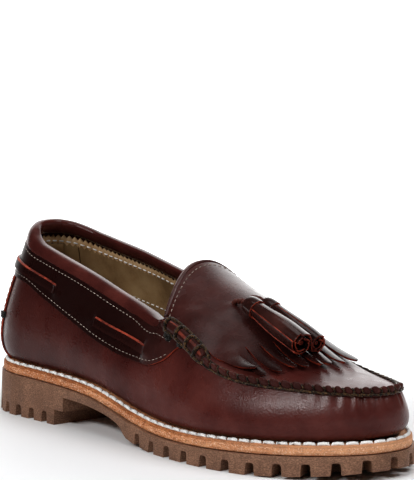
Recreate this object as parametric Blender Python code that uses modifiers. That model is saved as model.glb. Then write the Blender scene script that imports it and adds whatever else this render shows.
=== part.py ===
"""Tassel loafer for the right foot: a moccasin upper with a fringed kiltie on a lugged sole.

The toe points along +X, the outer side of the foot is -Y, and the sole stands on Z = 0.
Every size is in millimetres and is scaled to metres when a mesh is made.
"""

import math

import bmesh
import bpy
import numpy as np
from mathutils import Vector

MM = 0.001
LATERAL, MEDIAL = -1, 1
SIDE_WORDS = {LATERAL: "lateral", MEDIAL: "medial"}

# Driving dimensions
LENGTH = 302.0
GAP = 0.3
HEEL_ROUND = 42.0
TOE_ROUND = 84.0
END_POWER = 2.2
MIDSOLE_THICK = 5.4
INSOLE_THICK = 3.0
WALL_THICK = 2.0
OVERLAY_THICK = 1.1
SOLE_FLARE = 1.6
MIDSOLE_INSET = 0.4
INSOLE_CLEARANCE = 1.0
# How far a cutting tool reaches past what it cuts
OVERSHOOT = 6.0
TOOL_TOP = 40.0

# Heel block and tread
BREAST_X = -74.0
BREAST_OVERHANG = 8.0
BREAST_STEP_HEIGHT = 8.5
LUG_PITCH = 15.2
LUG_GROOVE = 6.6
LUG_DEPTH = 6.4
LUG_REACH = 15.0
LAST_GROOVE_X = 2.0
HEEL_LUG_PITCH = 12.4
HEEL_FIRST_GROOVE = 9.6
HEEL_GROOVE = 6.4
HEEL_GROOVE_DEPTH = 6.4
GROOVE_TAPER = 0.72
GROOVE_OVERCUT = 6.0
CENTRE_CLEARANCE = 4.0
FLAT_START_X = 24.0
FLAT_END_X = 88.0

# Collar, throat and seam
THROAT_X = 10.0
ROLL_THICK = 5.4
ROLL_END_RUN = 30.0
ROLL_UPRIGHT = 0.92
ROLL_END_SHARE = 0.012
ROLL_SQUARENESS = 0.8
SEAM_RADIUS = 1.8
BESIDE_SEAM = 0.98
PLUG_POWER = 2.1
TONGUE_SWEEP = 15.0
LOWER_RISE = 0.12
UPPER_RISE = 0.60
PLUG_SKEW = 0.16
TOE_FADE = 0.1

# Kiltie and tassels
FINGERS = 9
FINGER_GAP = 0.9
FINGER_LIFT = 1.8
FINGER_BASE_X = 73.0
FINGER_BASE_SWEEP = 16.0
FINGER_BASE_POWER = 1.5
FINGER_TIP_X = 101.5
FINGER_TIP_SWEEP = 17.0
FINGER_TIP_POWER = 4
KILTIE_SPREAD = 0.86
KILTIE_NARROWING = 0.10
TIP_SPREAD = 0.78
KILTIE_START = 0.02
FINGER_SHARES = (0.12, 0.4, 0.7, 1.0)
KILTIE_THICK = 1.5
CAP_LENGTH = 7.0
CAP_EDGE = 1.6
TIE_RADIUS = 1.3
TIE_RUN = 9.0
TIE_REST = 0.9

# Collar lace
LACE_WIDTH = 5.2
LACE_THICK = 1.4

# Resolution
SIDE_STEPS = 15
SEAM_STEPS = 21
WALL_STEPS = 8
PLUG_STEPS = 12
EDGE_STEPS = 40
PROFILE_STEPS = 34
ROLL_TURNS = 10
BAND_STEPS = 22
LACE_STEPS = 17
KILTIE_STEPS = 9
TRACE_STEPS = 600


def table(columns, rows):
    """A table with named columns, as one array for each column."""
    return dict(zip(columns.split(), np.array(rows, float).T))


# Half-widths of the sole's edge, by share of the length from the heel
OUTLINE = table(
    "station lateral medial",
    [
        (0.00, 36.5, 36.0),
        (0.12, 38.5, 37.0),
        (0.25, 39.8, 36.0),
        (0.38, 42.0, 34.0),
        (0.50, 46.0, 37.5),
        (0.62, 51.8, 47.0),
        (0.70, 53.4, 52.8),
        (0.80, 51.6, 53.4),
        (0.90, 47.6, 49.5),
        (1.00, 41.0, 43.5),
    ],
)

# Stretches of the tread's middle that have grooves across them
CENTRE_SPANS = table(
    "start end pitch width",
    [
        (-125.0, -88.0, HEEL_LUG_PITCH, HEEL_GROOVE),
        (30.0, 118.0, LUG_PITCH, LUG_GROOVE),
    ],
)

# Height of the rubber's top and of its ground face, by place along the shoe
SOLE_TOP = table(
    "station z",
    [
        (-151.0, 22.8),
        (-110.0, 22.6),
        (-75.0, 21.8),
        (-45.0, 20.0),
        (-20.0, 15.7),
        (0.0, 11.9),
        (22.0, 9.8),
        (45.0, 9.3),
        (80.0, 10.2),
        (110.0, 11.2),
        (135.0, 12.4),
        (152.0, 13.5),
    ],
)
SOLE_GROUND = table(
    "station z",
    [
        (-66.0, 16.3),
        (-50.0, 15.7),
        (-30.0, 13.6),
        (-12.0, 9.4),
        (-4.0, 3.6),
        (12.0, 1.0),
        (FLAT_START_X, 0.0),
        (FLAT_END_X, 0.0),
        (112.0, 1.0),
        (135.0, 2.8),
        (154.0, 5.4),
    ],
)

# Wall of the upper, by share of the length: how far in from the sole's edge its foot and its
# top lie, how far the wall swells out above its foot and below its top, and its rim's height
WALL = table(
    "station foot_inset low_swell high_swell lateral_inset medial_inset lateral_rim medial_rim",
    [
        (0.00, 6.5, 14.5, 9.5, 15.0, 15.0, 106.0, 106.0),
        (0.05, 6.5, 14.5, 9.5, 15.0, 15.0, 103.0, 104.0),
        (0.09, 6.5, 14.0, 9.5, 14.8, 14.4, 99.3, 101.8),
        (0.18, 6.5, 12.5, 9.5, 13.6, 11.5, 92.7, 96.6),
        (0.29, 7.0, 12.0, 9.5, 12.6, 9.5, 85.2, 90.6),
        (0.39, 7.0, 12.0, 9.0, 12.4, 8.5, 77.2, 83.7),
        (0.50, 7.0, 11.5, 8.5, 13.6, 9.0, 69.0, 74.6),
        (0.535, 7.2, 11.5, 8.5, 13.8, 10.0, 67.0, 70.6),
        (0.58, 7.4, 11.5, 8.5, 14.0, 12.0, 64.0, 65.0),
        (0.64, 7.6, 11.5, 8.5, 13.2, 14.0, 58.0, 56.6),
        (0.70, 7.8, 11.5, 8.5, 11.4, 15.0, 50.0, 49.8),
        (0.80, 8.0, 11.2, 8.5, 10.6, 17.0, 45.5, 44.6),
        (0.90, 8.6, 11.2, 7.0, 8.0, 13.6, 44.7, 43.2),
        (1.00, 11.0, 13.2, 5.5, 4.8, 4.8, 43.6, 43.6),
    ],
)

# Height of the collar's roll on each side, by share of the length
ROLL_HEIGHTS = table(
    "station lateral medial",
    [
        (0.00, 9.0, 9.0),
        (0.05, 8.1, 9.0),
        (0.09, 6.9, 9.0),
        (0.18, 5.8, 9.0),
        (0.29, 5.6, 9.0),
        (1.00, 5.6, 9.0),
    ],
)

# Height of the apron along its middle, from the tongue's top to the toe
PLUG_CREST = table(
    "station z",
    [
        (-6.0, 96.0),
        (12.0, 88.2),
        (32.0, 80.8),
        (45.0, 75.9),
        (60.0, 69.0),
        (75.0, 61.6),
        (90.0, 54.8),
        (103.0, 50.0),
        (120.0, 47.2),
        (135.0, 45.6),
        (146.0, 43.8),
    ],
)

# Lower edge of the laced band below the collar
BAND_LOW = table(
    "station z",
    [
        (-151.0, 77.0),
        (-116.0, 74.6),
        (-94.0, 68.0),
        (-60.0, 57.5),
        (-35.0, 50.0),
        (-14.0, 45.8),
        (8.0, 44.2),
        (20.0, 47.4),
        (32.0, 56.6),
    ],
)
BAND_FRONT_X = 32.0
BAND_TOP = 0.98
BAND_TAB_END = 0.06
BACKSTAY_HALF = 35.0
BACKSTAY_THICK = 1.6
BACKSTAY_FOOT = 0.14
BACKSTAY_CLEARANCE = 1.5

# Height of the collar lace's middle, and where each stretch that shows ends
LACE_LINE = table(
    "station z",
    [
        (-151.0, 84.5),
        (-133.0, 83.0),
        (-92.0, 75.5),
        (-43.5, 60.6),
        (4.0, 51.0),
    ],
)
LACE_REAR_X = -84.0
LACE_FRONT_SPAN = (-43.5, 4.0)

# Each tassel: where its axis starts and ends, how far its cap and its fringe are held off the
# kiltie, and its radius at the cap, at the neck of the fringe and at the fringe's end
TASSELS = table(
    "back_x back_y front_x front_y back_rest front_rest cap neck end",
    [
        (53.0, -9.5, 96.0, -10.6, 1.6, 3.0, 5.2, 5.0, 6.0),
        (55.0, 0.6, 95.0, 0.8, 0.9, 1.8, 4.3, 4.2, 4.9),
    ],
)

# Colour, roughness and metallic value of each material
FINISH = {
    "burgundy_leather": ((0.085, 0.022, 0.020), 0.34, 0.0),
    "dark_leather": ((0.040, 0.016, 0.016), 0.38, 0.0),
    "lace_leather": ((0.060, 0.022, 0.020), 0.45, 0.0),
    "tan_leather": ((0.470, 0.235, 0.115), 0.70, 0.0),
    "lining_leather": ((0.245, 0.170, 0.085), 0.65, 0.0),
    "gum_rubber": ((0.150, 0.088, 0.058), 0.72, 0.0),
}


def smooth(rows, column, at):
    """A table's column at any station, along a curve that never overshoots its rows."""
    x, y = rows["station"], rows[column]
    step = np.diff(x)
    slope = np.diff(y) / step
    tangent = np.concatenate([slope[:1], np.zeros(len(slope) - 1), slope[-1:]])
    agree = slope[1:] * slope[:-1] > 0
    both = np.where(agree, slope[1:] + slope[:-1], 1.0)
    tangent[1:-1] = np.where(agree, 2 * slope[1:] * slope[:-1] / both, 0.0)
    at = np.clip(np.asarray(at, float), x[0], x[-1])
    i = np.clip(np.searchsorted(x, at) - 1, 0, len(step) - 1)
    u = (at - x[i]) / step[i]
    rise = u * u * (3 - 2 * u)
    return (
        y[i] * (1 - rise)
        + y[i + 1] * rise
        + step[i] * u * (1 - u) * ((1 - u) * tangent[i] - u * tangent[i + 1])
    )


def rounded_end(distance, reach):
    """Share of the full width at a distance from a round end."""
    q = np.clip(distance / reach, 0.0, 1.0)
    return (1 - (1 - q) ** END_POWER) ** (1 / END_POWER)


def trace_edge(side):
    """The sole's edge on one side, heel to toe: points, outward normals and share of its length."""
    station = (1 - np.cos(np.linspace(0, math.pi, TRACE_STEPS))) / 2
    run = station * LENGTH
    ends = rounded_end(run, HEEL_ROUND) * rounded_end(LENGTH - run, TOE_ROUND)
    half = smooth(OUTLINE, SIDE_WORDS[side], station) * ends
    points = np.stack([run - LENGTH / 2, side * half], 1)
    tangent = np.gradient(points, axis=0)
    tangent[0], tangent[-1] = (0, side), (0, -side)
    normal = np.stack([-tangent[:, 1], tangent[:, 0]], 1) * side
    normal /= np.linalg.norm(normal, axis=1)[:, None]
    share = np.concatenate([[0], np.cumsum(np.linalg.norm(np.diff(points, axis=0), axis=1))])
    return points, normal, share / share[-1], share[-1]


EDGES = {side: trace_edge(side) for side in (LATERAL, MEDIAL)}


def edge_at(side, share):
    """Points and outward normals at shares of one side's edge."""
    points, normal, shares, _ = EDGES[side]
    at = [np.interp(share, shares, column) for column in (*points.T, *normal.T)]
    outward = np.stack(at[2:], -1)
    return np.stack(at[:2], -1), outward / np.linalg.norm(outward, axis=-1)[..., None]


def share_at_x(side, x):
    """Share of one side's edge at a place along the shoe."""
    points, _, shares, _ = EDGES[side]
    return np.interp(x, points[:, 0], shares)


def ring(inset, count):
    """The whole edge, moved in, as one closed loop: lateral side out and medial side back."""
    share = np.linspace(0, 1, count)
    loops = []
    for side, order in ((LATERAL, share[:-1]), (MEDIAL, share[:0:-1])):
        points, outward = edge_at(side, order)
        loops.append(points - inset * outward)
    return np.concatenate(loops)


def sole_top(x):
    return smooth(SOLE_TOP, "z", x)


def midsole_top(x):
    return sole_top(x) + GAP + MIDSOLE_THICK


def roll_height(side, x):
    """Height of the collar's roll, which runs out towards the throat."""
    full = smooth(ROLL_HEIGHTS, SIDE_WORDS[side], x / LENGTH + 0.5)
    share = np.clip((THROAT_X - x) / ROLL_END_RUN, 0.0, 1.0)
    return full * np.sin(share * math.pi / 2)


def wall(side, share, height):
    """The wall's outer face: share runs heel to toe, height from the sole (0) to the top (1)."""
    share, height = np.atleast_1d(share), np.asarray(height, float)
    edge, outward = edge_at(side, share)
    station = edge[:, 0] / LENGTH + 0.5
    foot = -smooth(WALL, "foot_inset", station)
    top = -smooth(WALL, f"{SIDE_WORDS[side]}_inset", station)
    out = [foot, foot + smooth(WALL, "low_swell", station), top + smooth(WALL, "high_swell", station), top]
    low = midsole_top(edge[:, 0] + foot * outward[:, 0]) + GAP
    high = smooth(WALL, f"{SIDE_WORDS[side]}_rim", station) - ROLL_UPRIGHT * roll_height(side, edge[:, 0])
    rise = high - low
    up = [low, low + LOWER_RISE * rise, low + UPPER_RISE * rise, high]
    v = np.broadcast_to(height, (len(share),) + height.shape[-1:])
    weights = [(1 - v) ** 3, 3 * (1 - v) ** 2 * v, 3 * (1 - v) * v**2, v**3]
    reach = sum(w * o[:, None] for w, o in zip(weights, out))
    z = sum(w * h[:, None] for w, h in zip(weights, up))
    flat = edge[:, None, :] + reach[..., None] * outward[:, None, :]
    return np.concatenate([flat, z[..., None]], -1)


def seam(side, along):
    """The seam between wall and apron: along runs from the throat (0) to the toe (1)."""
    start = share_at_x(side, THROAT_X)
    return wall(side, start + np.asarray(along) * (1 - start), np.array([1.0]))[:, 0]


def plug(along, across):
    """The apron and tongue's outer face: across runs from the lateral seam (-1) to the medial (1)."""
    along = np.atleast_1d(along)
    outer, inner = seam(LATERAL, along), seam(MEDIAL, along)
    across = np.broadcast_to(across, (len(along), np.shape(across)[-1]))
    middle, half = (outer + inner) / 2, (inner - outer) / 2
    points = middle[:, None, :] + half[:, None, :] * across[..., None]
    sweep = TONGUE_SWEEP * (1 - along) ** 2
    crest = smooth(PLUG_CREST, "z", middle[:, 0] - sweep) - middle[:, 2]
    crest *= np.clip((1 - along) / TOE_FADE, 0, 1)
    skewed = (across - PLUG_SKEW) / (1 - PLUG_SKEW * across)
    arch = 1 - np.abs(skewed) ** PLUG_POWER
    points[..., 0] -= sweep[:, None] * arch
    points[..., 2] += crest[:, None] * arch
    return points


def along_at_x(x):
    """Where along the apron its middle reaches a place along the shoe."""
    along = np.linspace(0, 1, 200)
    return np.interp(x, plug(along, np.array([0.0]))[:, 0, 0], along)


def lifted(surface, first, second, distance):
    """Points at a distance off a surface, which is a function of two parameters."""
    nudge = 1e-3
    here = surface(first, second)
    side_one = surface(first + nudge, second) - surface(first - nudge, second)
    side_two = surface(first, second + nudge) - surface(first, second - nudge)
    normal = np.cross(side_one, side_two)
    normal /= np.linalg.norm(normal, axis=-1)[..., None]
    return here + normal * np.asarray(distance)[..., None]


def clear_scene():
    for obj in list(bpy.data.objects):
        bpy.data.objects.remove(obj, do_unlink=True)


def collection(name):
    made = bpy.data.collections.new(name)
    bpy.context.scene.collection.children.link(made)
    return made


def material(name):
    """A plain material with the part's colour, roughness and metallic value."""
    if name in bpy.data.materials:
        return bpy.data.materials[name]
    colour, roughness, metallic = FINISH[name]
    made = bpy.data.materials.new(name)
    made.use_nodes = True
    shader = made.node_tree.nodes["Principled BSDF"]
    shader.inputs["Base Color"].default_value = (*colour, 1.0)
    shader.inputs["Roughness"].default_value = roughness
    shader.inputs["Metallic"].default_value = metallic
    return made


def place(name, data, finish, group):
    """An object for the mesh or curve, with its material, in its collection."""
    obj = bpy.data.objects.new(name, data)
    group.objects.link(obj)
    if finish:
        data.materials.append(material(finish))
    return obj


def grid_faces(bm, grid, wrap=False):
    """Faces between neighbouring rows of points, closed across each row if wrap is set."""
    rows = [[bm.verts.new(Vector(p) * MM) for p in row] for row in grid]
    for one, two in zip(rows, rows[1:]):
        turns = range(len(one) if wrap else len(one) - 1)
        for i in turns:
            j = (i + 1) % len(one)
            bm.faces.new((one[i], one[j], two[j], two[i]))
    return rows


def finish_mesh(bm, name):
    """Welds the shared edges, turns the faces outwards and returns the mesh."""
    bmesh.ops.remove_doubles(bm, verts=bm.verts, dist=1e-3 * MM)
    bmesh.ops.recalc_face_normals(bm, faces=bm.faces)
    mesh = bpy.data.meshes.new(name)
    bm.to_mesh(mesh)
    bm.free()
    mesh.shade_smooth()
    mesh.set_sharp_from_angle(angle=math.radians(40))
    return mesh


def loft(name, bodies, finish, group):
    """One or more closed bodies, each through rings of points with a cap at each end."""
    bm = bmesh.new()
    for rings in bodies:
        rows = grid_faces(bm, rings, wrap=True)
        bm.faces.new(rows[0])
        bm.faces.new(rows[-1])
    return place(name, finish_mesh(bm, name), finish, group)


def sheet(name, grids, thick, finish, group, outward=True):
    """A sheet made of grids that share edges, thickened to one side."""
    bm = bmesh.new()
    for grid in grids:
        grid_faces(bm, grid)
    mesh = finish_mesh(bm, name)
    obj = place(name, mesh, finish, group)
    shell = obj.modifiers.new("thickness", "SOLIDIFY")
    shell.thickness = thick * MM
    shell.offset = 1.0 if outward else -1.0
    shell.use_even_offset = True
    return obj


def cut(obj, tool, operation="DIFFERENCE"):
    """Cuts an object with a hidden tool."""
    modifier = obj.modifiers.new(f"{operation.lower()}_{tool.name}", "BOOLEAN")
    modifier.operation = operation
    modifier.solver = "EXACT"
    modifier.object = tool
    tool.hide_render = True
    tool.display_type = "WIRE"


def side_slab(name, profile, group):
    """A tool as wide as the shoe, cut to an outline seen from the side."""
    reach = LENGTH / 3
    profile = np.asarray(profile)
    rings = [np.stack([profile[:, 0], np.full(len(profile), y), profile[:, 1]], 1) for y in (-reach, reach)]
    return loft(name, [rings], None, group)


def edge_block(name, inset, finish, group, flare=0.0):
    """A block with the sole's outline, wider at its foot by the flare."""
    rings = []
    for z, extra in ((-OVERSHOOT, flare), (TOOL_TOP, 0.0)):
        loop = ring(inset - extra, EDGE_STEPS)
        rings.append(np.column_stack([loop, np.full(len(loop), z)]))
    return loft(name, [rings], finish, group)


def layer_profile(bottom, top):
    """The side outline of a layer between two heights along the whole shoe."""
    x = np.linspace(-LENGTH / 2 - OVERSHOOT, LENGTH / 2 + OVERSHOOT, PROFILE_STEPS)
    low = np.stack([x, bottom(x)], 1)
    return np.concatenate([low, np.stack([x, top(x)], 1)[::-1]])


def outsole_profile():
    """The side outline of the rubber: heel, stepped breast, shank, forefoot and toe spring."""
    start, end = -LENGTH / 2 - OVERSHOOT, LENGTH / 2 + OVERSHOOT
    shank_x = BREAST_X + BREAST_OVERHANG
    heel = [(start, 0.0), (BREAST_X, 0.0), (BREAST_X, BREAST_STEP_HEIGHT), (shank_x, BREAST_STEP_HEIGHT)]
    shank = np.linspace(shank_x, FLAT_START_X, PROFILE_STEPS // 2)
    ground_x = np.concatenate([shank, np.linspace(FLAT_END_X, end, PROFILE_STEPS // 3)])
    ground = np.stack([ground_x, smooth(SOLE_GROUND, "z", ground_x)], 1)
    top_x = np.linspace(end, start, PROFILE_STEPS)
    return np.concatenate([heel, ground, np.stack([top_x, sole_top(top_x)], 1)])


def groove(point, outward, reach, width, floor, depth):
    """One groove through the tread, from outside the edge inwards, narrower at its top."""
    along = np.append(outward, 0.0)
    sideways = np.array([-outward[1], outward[0], 0.0])
    rings = []
    wide, narrow = width / 2, width / 2 * GROOVE_TAPER
    section = [(-wide, -OVERSHOOT), (wide, -OVERSHOOT), (narrow, depth), (-narrow, depth)]
    for distance in (GROOVE_OVERCUT, -reach):
        centre = np.append(point, floor) + along * distance
        rings.append([centre + sideways * aside + (0, 0, z) for aside, z in section])
    return rings


def tread_grooves():
    """Radial grooves at an even pitch: back from the toe's tip, and back from the heel's breast."""
    made = []
    for side in (LATERAL, MEDIAL):
        length = EDGES[side][3]
        rear = share_at_x(side, LAST_GROOVE_X) * length
        start = length if side == LATERAL else length - LUG_PITCH
        for distance in np.arange(start, rear, -LUG_PITCH):
            point, outward = edge_at(side, distance / length)
            ground = float(smooth(SOLE_GROUND, "z", point[0]))
            made.append(groove(point, outward, LUG_REACH, LUG_GROOVE, ground, LUG_DEPTH))
        breast = share_at_x(side, BREAST_X) * length
        for distance in np.arange(breast - HEEL_FIRST_GROOVE, HEEL_LUG_PITCH / 3, -HEEL_LUG_PITCH):
            point, outward = edge_at(side, distance / length)
            made.append(groove(point, outward, LUG_REACH, HEEL_GROOVE, 0.0, HEEL_GROOVE_DEPTH))
    return made


def centre_grooves():
    """Straight grooves across the middle of the tread, clear of the lugs along its edge."""
    made = []
    across = np.array([0.0, 1.0])
    inside = LUG_REACH + CENTRE_CLEARANCE
    for start, end, pitch, width in zip(*CENTRE_SPANS.values()):
        for x in np.arange(start, end, pitch):
            low, high = (edge_at(side, share_at_x(side, x))[0][1] for side in (LATERAL, MEDIAL))
            point = np.array([x, high - inside - GROOVE_OVERCUT])
            reach = high - low - 2 * inside - GROOVE_OVERCUT
            ground = float(smooth(SOLE_GROUND, "z", max(x, FLAT_START_X)))
            made.append(groove(point, across, reach, width, ground, LUG_DEPTH))
    return made


def build_outsole(group, tools):
    block = edge_block("outsole", 0.0, "gum_rubber", group, SOLE_FLARE)
    cut(block, side_slab("outsole_side", outsole_profile(), tools), "INTERSECT")
    cut(block, loft("tread_grooves", tread_grooves(), None, tools))
    cut(block, loft("centre_grooves", centre_grooves(), None, tools))
    return block


def build_midsole(group, tools):
    block = edge_block("midsole", MIDSOLE_INSET, "tan_leather", group)
    profile = layer_profile(lambda x: sole_top(x) + GAP, midsole_top)
    cut(block, side_slab("midsole_side", profile, tools), "INTERSECT")
    return block


def build_insole(group, tools):
    inset = WALL["foot_inset"].max() + WALL_THICK + INSOLE_CLEARANCE
    block = edge_block("insole", inset, "lining_leather", group)
    profile = layer_profile(lambda x: midsole_top(x) + GAP, lambda x: midsole_top(x) + GAP + INSOLE_THICK)
    cut(block, side_slab("insole_side", profile, tools), "INTERSECT")
    return block


def side_shares(side):
    """Shares of one side's edge for the wall's sections, with one at the throat."""
    throat = share_at_x(side, THROAT_X)
    return np.concatenate([np.linspace(0, throat, SIDE_STEPS), np.linspace(throat, 1, SEAM_STEPS)[1:]])


def build_upper(group):
    """Wall, apron and tongue as one shell, open below and at the collar."""
    height = np.linspace(0, 1, WALL_STEPS)
    grids = [wall(side, side_shares(side), height) for side in (LATERAL, MEDIAL)]
    across = np.sin(np.linspace(-1, 1, PLUG_STEPS + 1)) / math.sin(1)
    grids.append(plug(np.linspace(0, 1, SEAM_STEPS), across))
    return sheet("upper", grids, WALL_THICK, "burgundy_leather", group, outward=False)


def collar_path():
    """Sides and shares round the collar, from the lateral throat by the heel to the medial throat."""
    shares = {side: side_shares(side)[:SIDE_STEPS] for side in (LATERAL, MEDIAL)}
    for share in shares.values():
        share[-1] -= ROLL_END_SHARE
    return [(LATERAL, s) for s in shares[LATERAL][:0:-1]] + [(MEDIAL, s) for s in shares[MEDIAL]]


def build_collar_roll(group):
    """The padded roll that stands on the wall's top edge."""
    turns = np.linspace(0, 2 * math.pi, ROLL_TURNS, endpoint=False)
    aside = np.sign(np.cos(turns)) * np.abs(np.cos(turns)) ** ROLL_SQUARENESS * ROLL_THICK / 2
    rings = []
    for side, share in collar_path():
        below, top = wall(side, share, np.array([BESIDE_SEAM, 1.0]))[0]
        lean = (top - below) / np.linalg.norm(top - below)
        _, outward = edge_at(side, share)
        out = np.append(outward, 0.0)
        high = roll_height(side, top[0])
        middle = top - out * WALL_THICK / 2 + lean * (high / 2 + GAP)
        rings.append(middle + np.outer(aside, out) + np.outer(np.sin(turns) * high / 2, lean))
    return loft("collar_roll", [rings], "burgundy_leather", group)


def height_share(side, share, z):
    """How far up the wall a height lies."""
    v = np.linspace(0, 1, 60)
    return np.array([np.interp(zi, w[:, 2], v) for zi, w in zip(np.atleast_1d(z), wall(side, share, v))])


def off_wall(side, share, height, distance):
    """Points at a distance off the wall, one row of heights for each share."""

    def face(along, up):
        return wall(side, along, up)

    return lifted(face, share, height, np.full(height.shape, -side * distance))


def wall_sheet(side, share, low, high, steps, distance):
    """A grid of points at a distance off the wall, between two shares of its height."""
    height = low[:, None] + (high - low)[:, None] * np.linspace(0, 1, steps)
    return off_wall(side, share, height, distance)


def back_shares(end, count):
    """Shares from the middle of the heel's back, nudged off it so that a normal exists there."""
    return np.concatenate([[1e-4], np.linspace(0, end, count)[1:]])


def build_lace_band(group):
    """The laced band round the shoe below the collar, with a rounded tab at each front end."""
    grids = []
    for side in (LATERAL, MEDIAL):
        front = share_at_x(side, BAND_FRONT_X)
        share = back_shares(front, BAND_STEPS)
        edge, _ = edge_at(side, share)
        low = height_share(side, share, smooth(BAND_LOW, "z", edge[:, 0]))
        high = np.full(len(share), BAND_TOP)
        grids.append(wall_sheet(side, share, np.minimum(low, high - BAND_TAB_END), high, 4, GAP))
    grids[1][0] = grids[0][0]
    return sheet("lace_band", grids, OVERLAY_THICK, "dark_leather", group)


def build_backstay(group):
    """The counter laid round the back of the heel."""
    length = EDGES[LATERAL][3]
    share = back_shares(BACKSTAY_HALF / length, 8)
    low = np.full(len(share), BACKSTAY_FOOT)
    grids = []
    for side in (LATERAL, MEDIAL):
        high = height_share(side, share, np.full(len(share), BAND_LOW["z"][0] - BACKSTAY_CLEARANCE))
        grids.append(wall_sheet(side, share, low, high, 8, GAP))
    grids[1][0] = grids[0][0]
    return sheet("backstay", grids, BACKSTAY_THICK, "burgundy_leather", group)


def lace_grid(side, share):
    """A stretch of lace on one side, clear of the band that it runs over."""
    edge, _ = edge_at(side, share)
    middle = smooth(LACE_LINE, "z", edge[:, 0])
    low, high = (height_share(side, share, middle + half) for half in (-LACE_WIDTH / 2, LACE_WIDTH / 2))
    return wall_sheet(side, share, low, high, 3, OVERLAY_THICK + 2 * GAP)


def build_laces(group):
    """The stretches of flat lace that show: one round the heel and one on each side."""
    rear = []
    for side in (LATERAL, MEDIAL):
        rear.append(lace_grid(side, back_shares(share_at_x(side, LACE_REAR_X), LACE_STEPS)))
    rear[1][0] = rear[0][0]
    sheet("lace_rear", rear, LACE_THICK, "lace_leather", group)
    for side, word in SIDE_WORDS.items():
        ends = share_at_x(side, np.array(LACE_FRONT_SPAN))
        run = np.linspace(*ends, LACE_STEPS // 2 + 1)
        sheet(f"lace_{word}", [lace_grid(side, run)], LACE_THICK, "lace_leather", group)


def seam_normal(side, along):
    """The direction off the seam, between the wall's own normal and the apron's."""
    along = np.clip(along, 1 - BESIDE_SEAM, BESIDE_SEAM)
    start = share_at_x(side, THROAT_X)
    share = start + along * (1 - start)
    near = np.full((len(along), 1), BESIDE_SEAM)
    from_wall = off_wall(side, share, near, 1.0) - off_wall(side, share, near, 0.0)
    from_plug = over_plug(along, side * near[:, 0], np.ones(len(along))) - plug(along, side * near)[:, 0]
    between = from_wall[:, 0] + from_plug
    return between / np.linalg.norm(between, axis=1)[:, None]


def build_apron_seam(group):
    """The raised hand-sewn seam between wall and apron, from throat to throat round the toe."""
    along = np.linspace(0, 1, SEAM_STEPS)[1:]
    line = []
    for side, order in ((LATERAL, along), (MEDIAL, along[-2::-1])):
        line.append(seam(side, order) + seam_normal(side, order) * (SEAM_RADIUS + 2 * GAP))
    return tube("apron_seam", np.concatenate(line), SEAM_RADIUS, "dark_leather", group)


def kiltie_across(spread):
    """Places across the apron, spaced evenly along its arch."""
    return np.sin(spread) / math.sin(1)


def over_plug(along, across, distance):
    """Points at a distance off the apron, one for each pair of parameters."""
    shape = np.shape(along)
    points = lifted(plug, np.ravel(along), np.reshape(across, (-1, 1)), np.reshape(distance, (-1, 1)))
    return points.reshape(*shape, 3)


def build_kiltie(group):
    """One sheet over the tongue and apron, slit into fingers along its front."""
    spread = np.linspace(-1, 1, 2 * FINGERS + 1)
    across = kiltie_across(spread * (KILTIE_SPREAD - KILTIE_NARROWING))
    base = along_at_x(FINGER_BASE_X - FINGER_BASE_SWEEP * np.abs(spread) ** FINGER_BASE_POWER)
    tip = along_at_x(FINGER_TIP_X - FINGER_TIP_SWEEP * np.abs(spread) ** FINGER_TIP_POWER)
    share = np.linspace(0, 1, KILTIE_STEPS)[:, None]
    rows = KILTIE_START + (base - KILTIE_START) * share
    body_across = kiltie_across(spread * (KILTIE_SPREAD - KILTIE_NARROWING * share**2))
    body = over_plug(rows, body_across, np.full(rows.shape, GAP))
    grids = [body]
    width = np.ptp(plug(0.5, np.array([-1.0, 1.0]))[0, :, 1])
    inset = np.array([1, 0, -1]) * FINGER_GAP / width
    for k in range(FINGERS):
        strip = slice(2 * k, 2 * k + 3)
        finger = [body[-1][strip]]
        for share in FINGER_SHARES:
            place_across = across[strip] * (1 - share) + spread[strip] * TIP_SPREAD * share + inset
            place_along = base[strip] + (tip[strip] - base[strip]) * share
            lift = np.full(3, GAP + FINGER_LIFT * share**2)
            finger.append(over_plug(place_along, place_across, lift))
        grids.append(np.array(finger))
    return sheet("kiltie", grids, KILTIE_THICK, "burgundy_leather", group)


def across_at(x, y):
    """Where across the apron a point lies, for a place along the shoe."""
    across = np.linspace(-1, 1, 41)
    return np.interp(y, plug(along_at_x(x), across)[0, :, 1], across)


def tube(name, line, radius, finish, group):
    """A round bar along a line of points."""
    curve = bpy.data.curves.new(name, "CURVE")
    curve.dimensions = "3D"
    curve.bevel_depth = radius * MM
    curve.bevel_resolution = 2
    curve.use_fill_caps = True
    spline = curve.splines.new("POLY")
    spline.points.add(len(line) - 1)
    for point, at in zip(spline.points, line):
        point.co = (*(at * MM), 1.0)
    return place(name, curve, finish, group)


def turned(name, profile, finish, group):
    """A solid turned about its own Z axis from a profile of radius and height."""
    mesh = bpy.data.meshes.new(name)
    points = [(r * MM, 0.0, z * MM) for r, z in profile]
    mesh.from_pydata(points, [(i, i + 1) for i in range(len(points) - 1)], [])
    obj = place(name, mesh, finish, group)
    screw = obj.modifiers.new("turn", "SCREW")
    screw.steps = screw.render_steps = 14
    screw.use_merge_vertices = True
    screw.merge_threshold = 1e-5
    return obj


def above_kiltie(x, y, distance):
    """A point over the kiltie, straight above its upper face by a distance."""
    along, across = np.array([along_at_x(x)]), np.array([across_at(x, y)])
    face = over_plug(along, across, np.array([GAP + KILTIE_THICK]))[0]
    return np.array([x, y, face[2] + distance])


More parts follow.
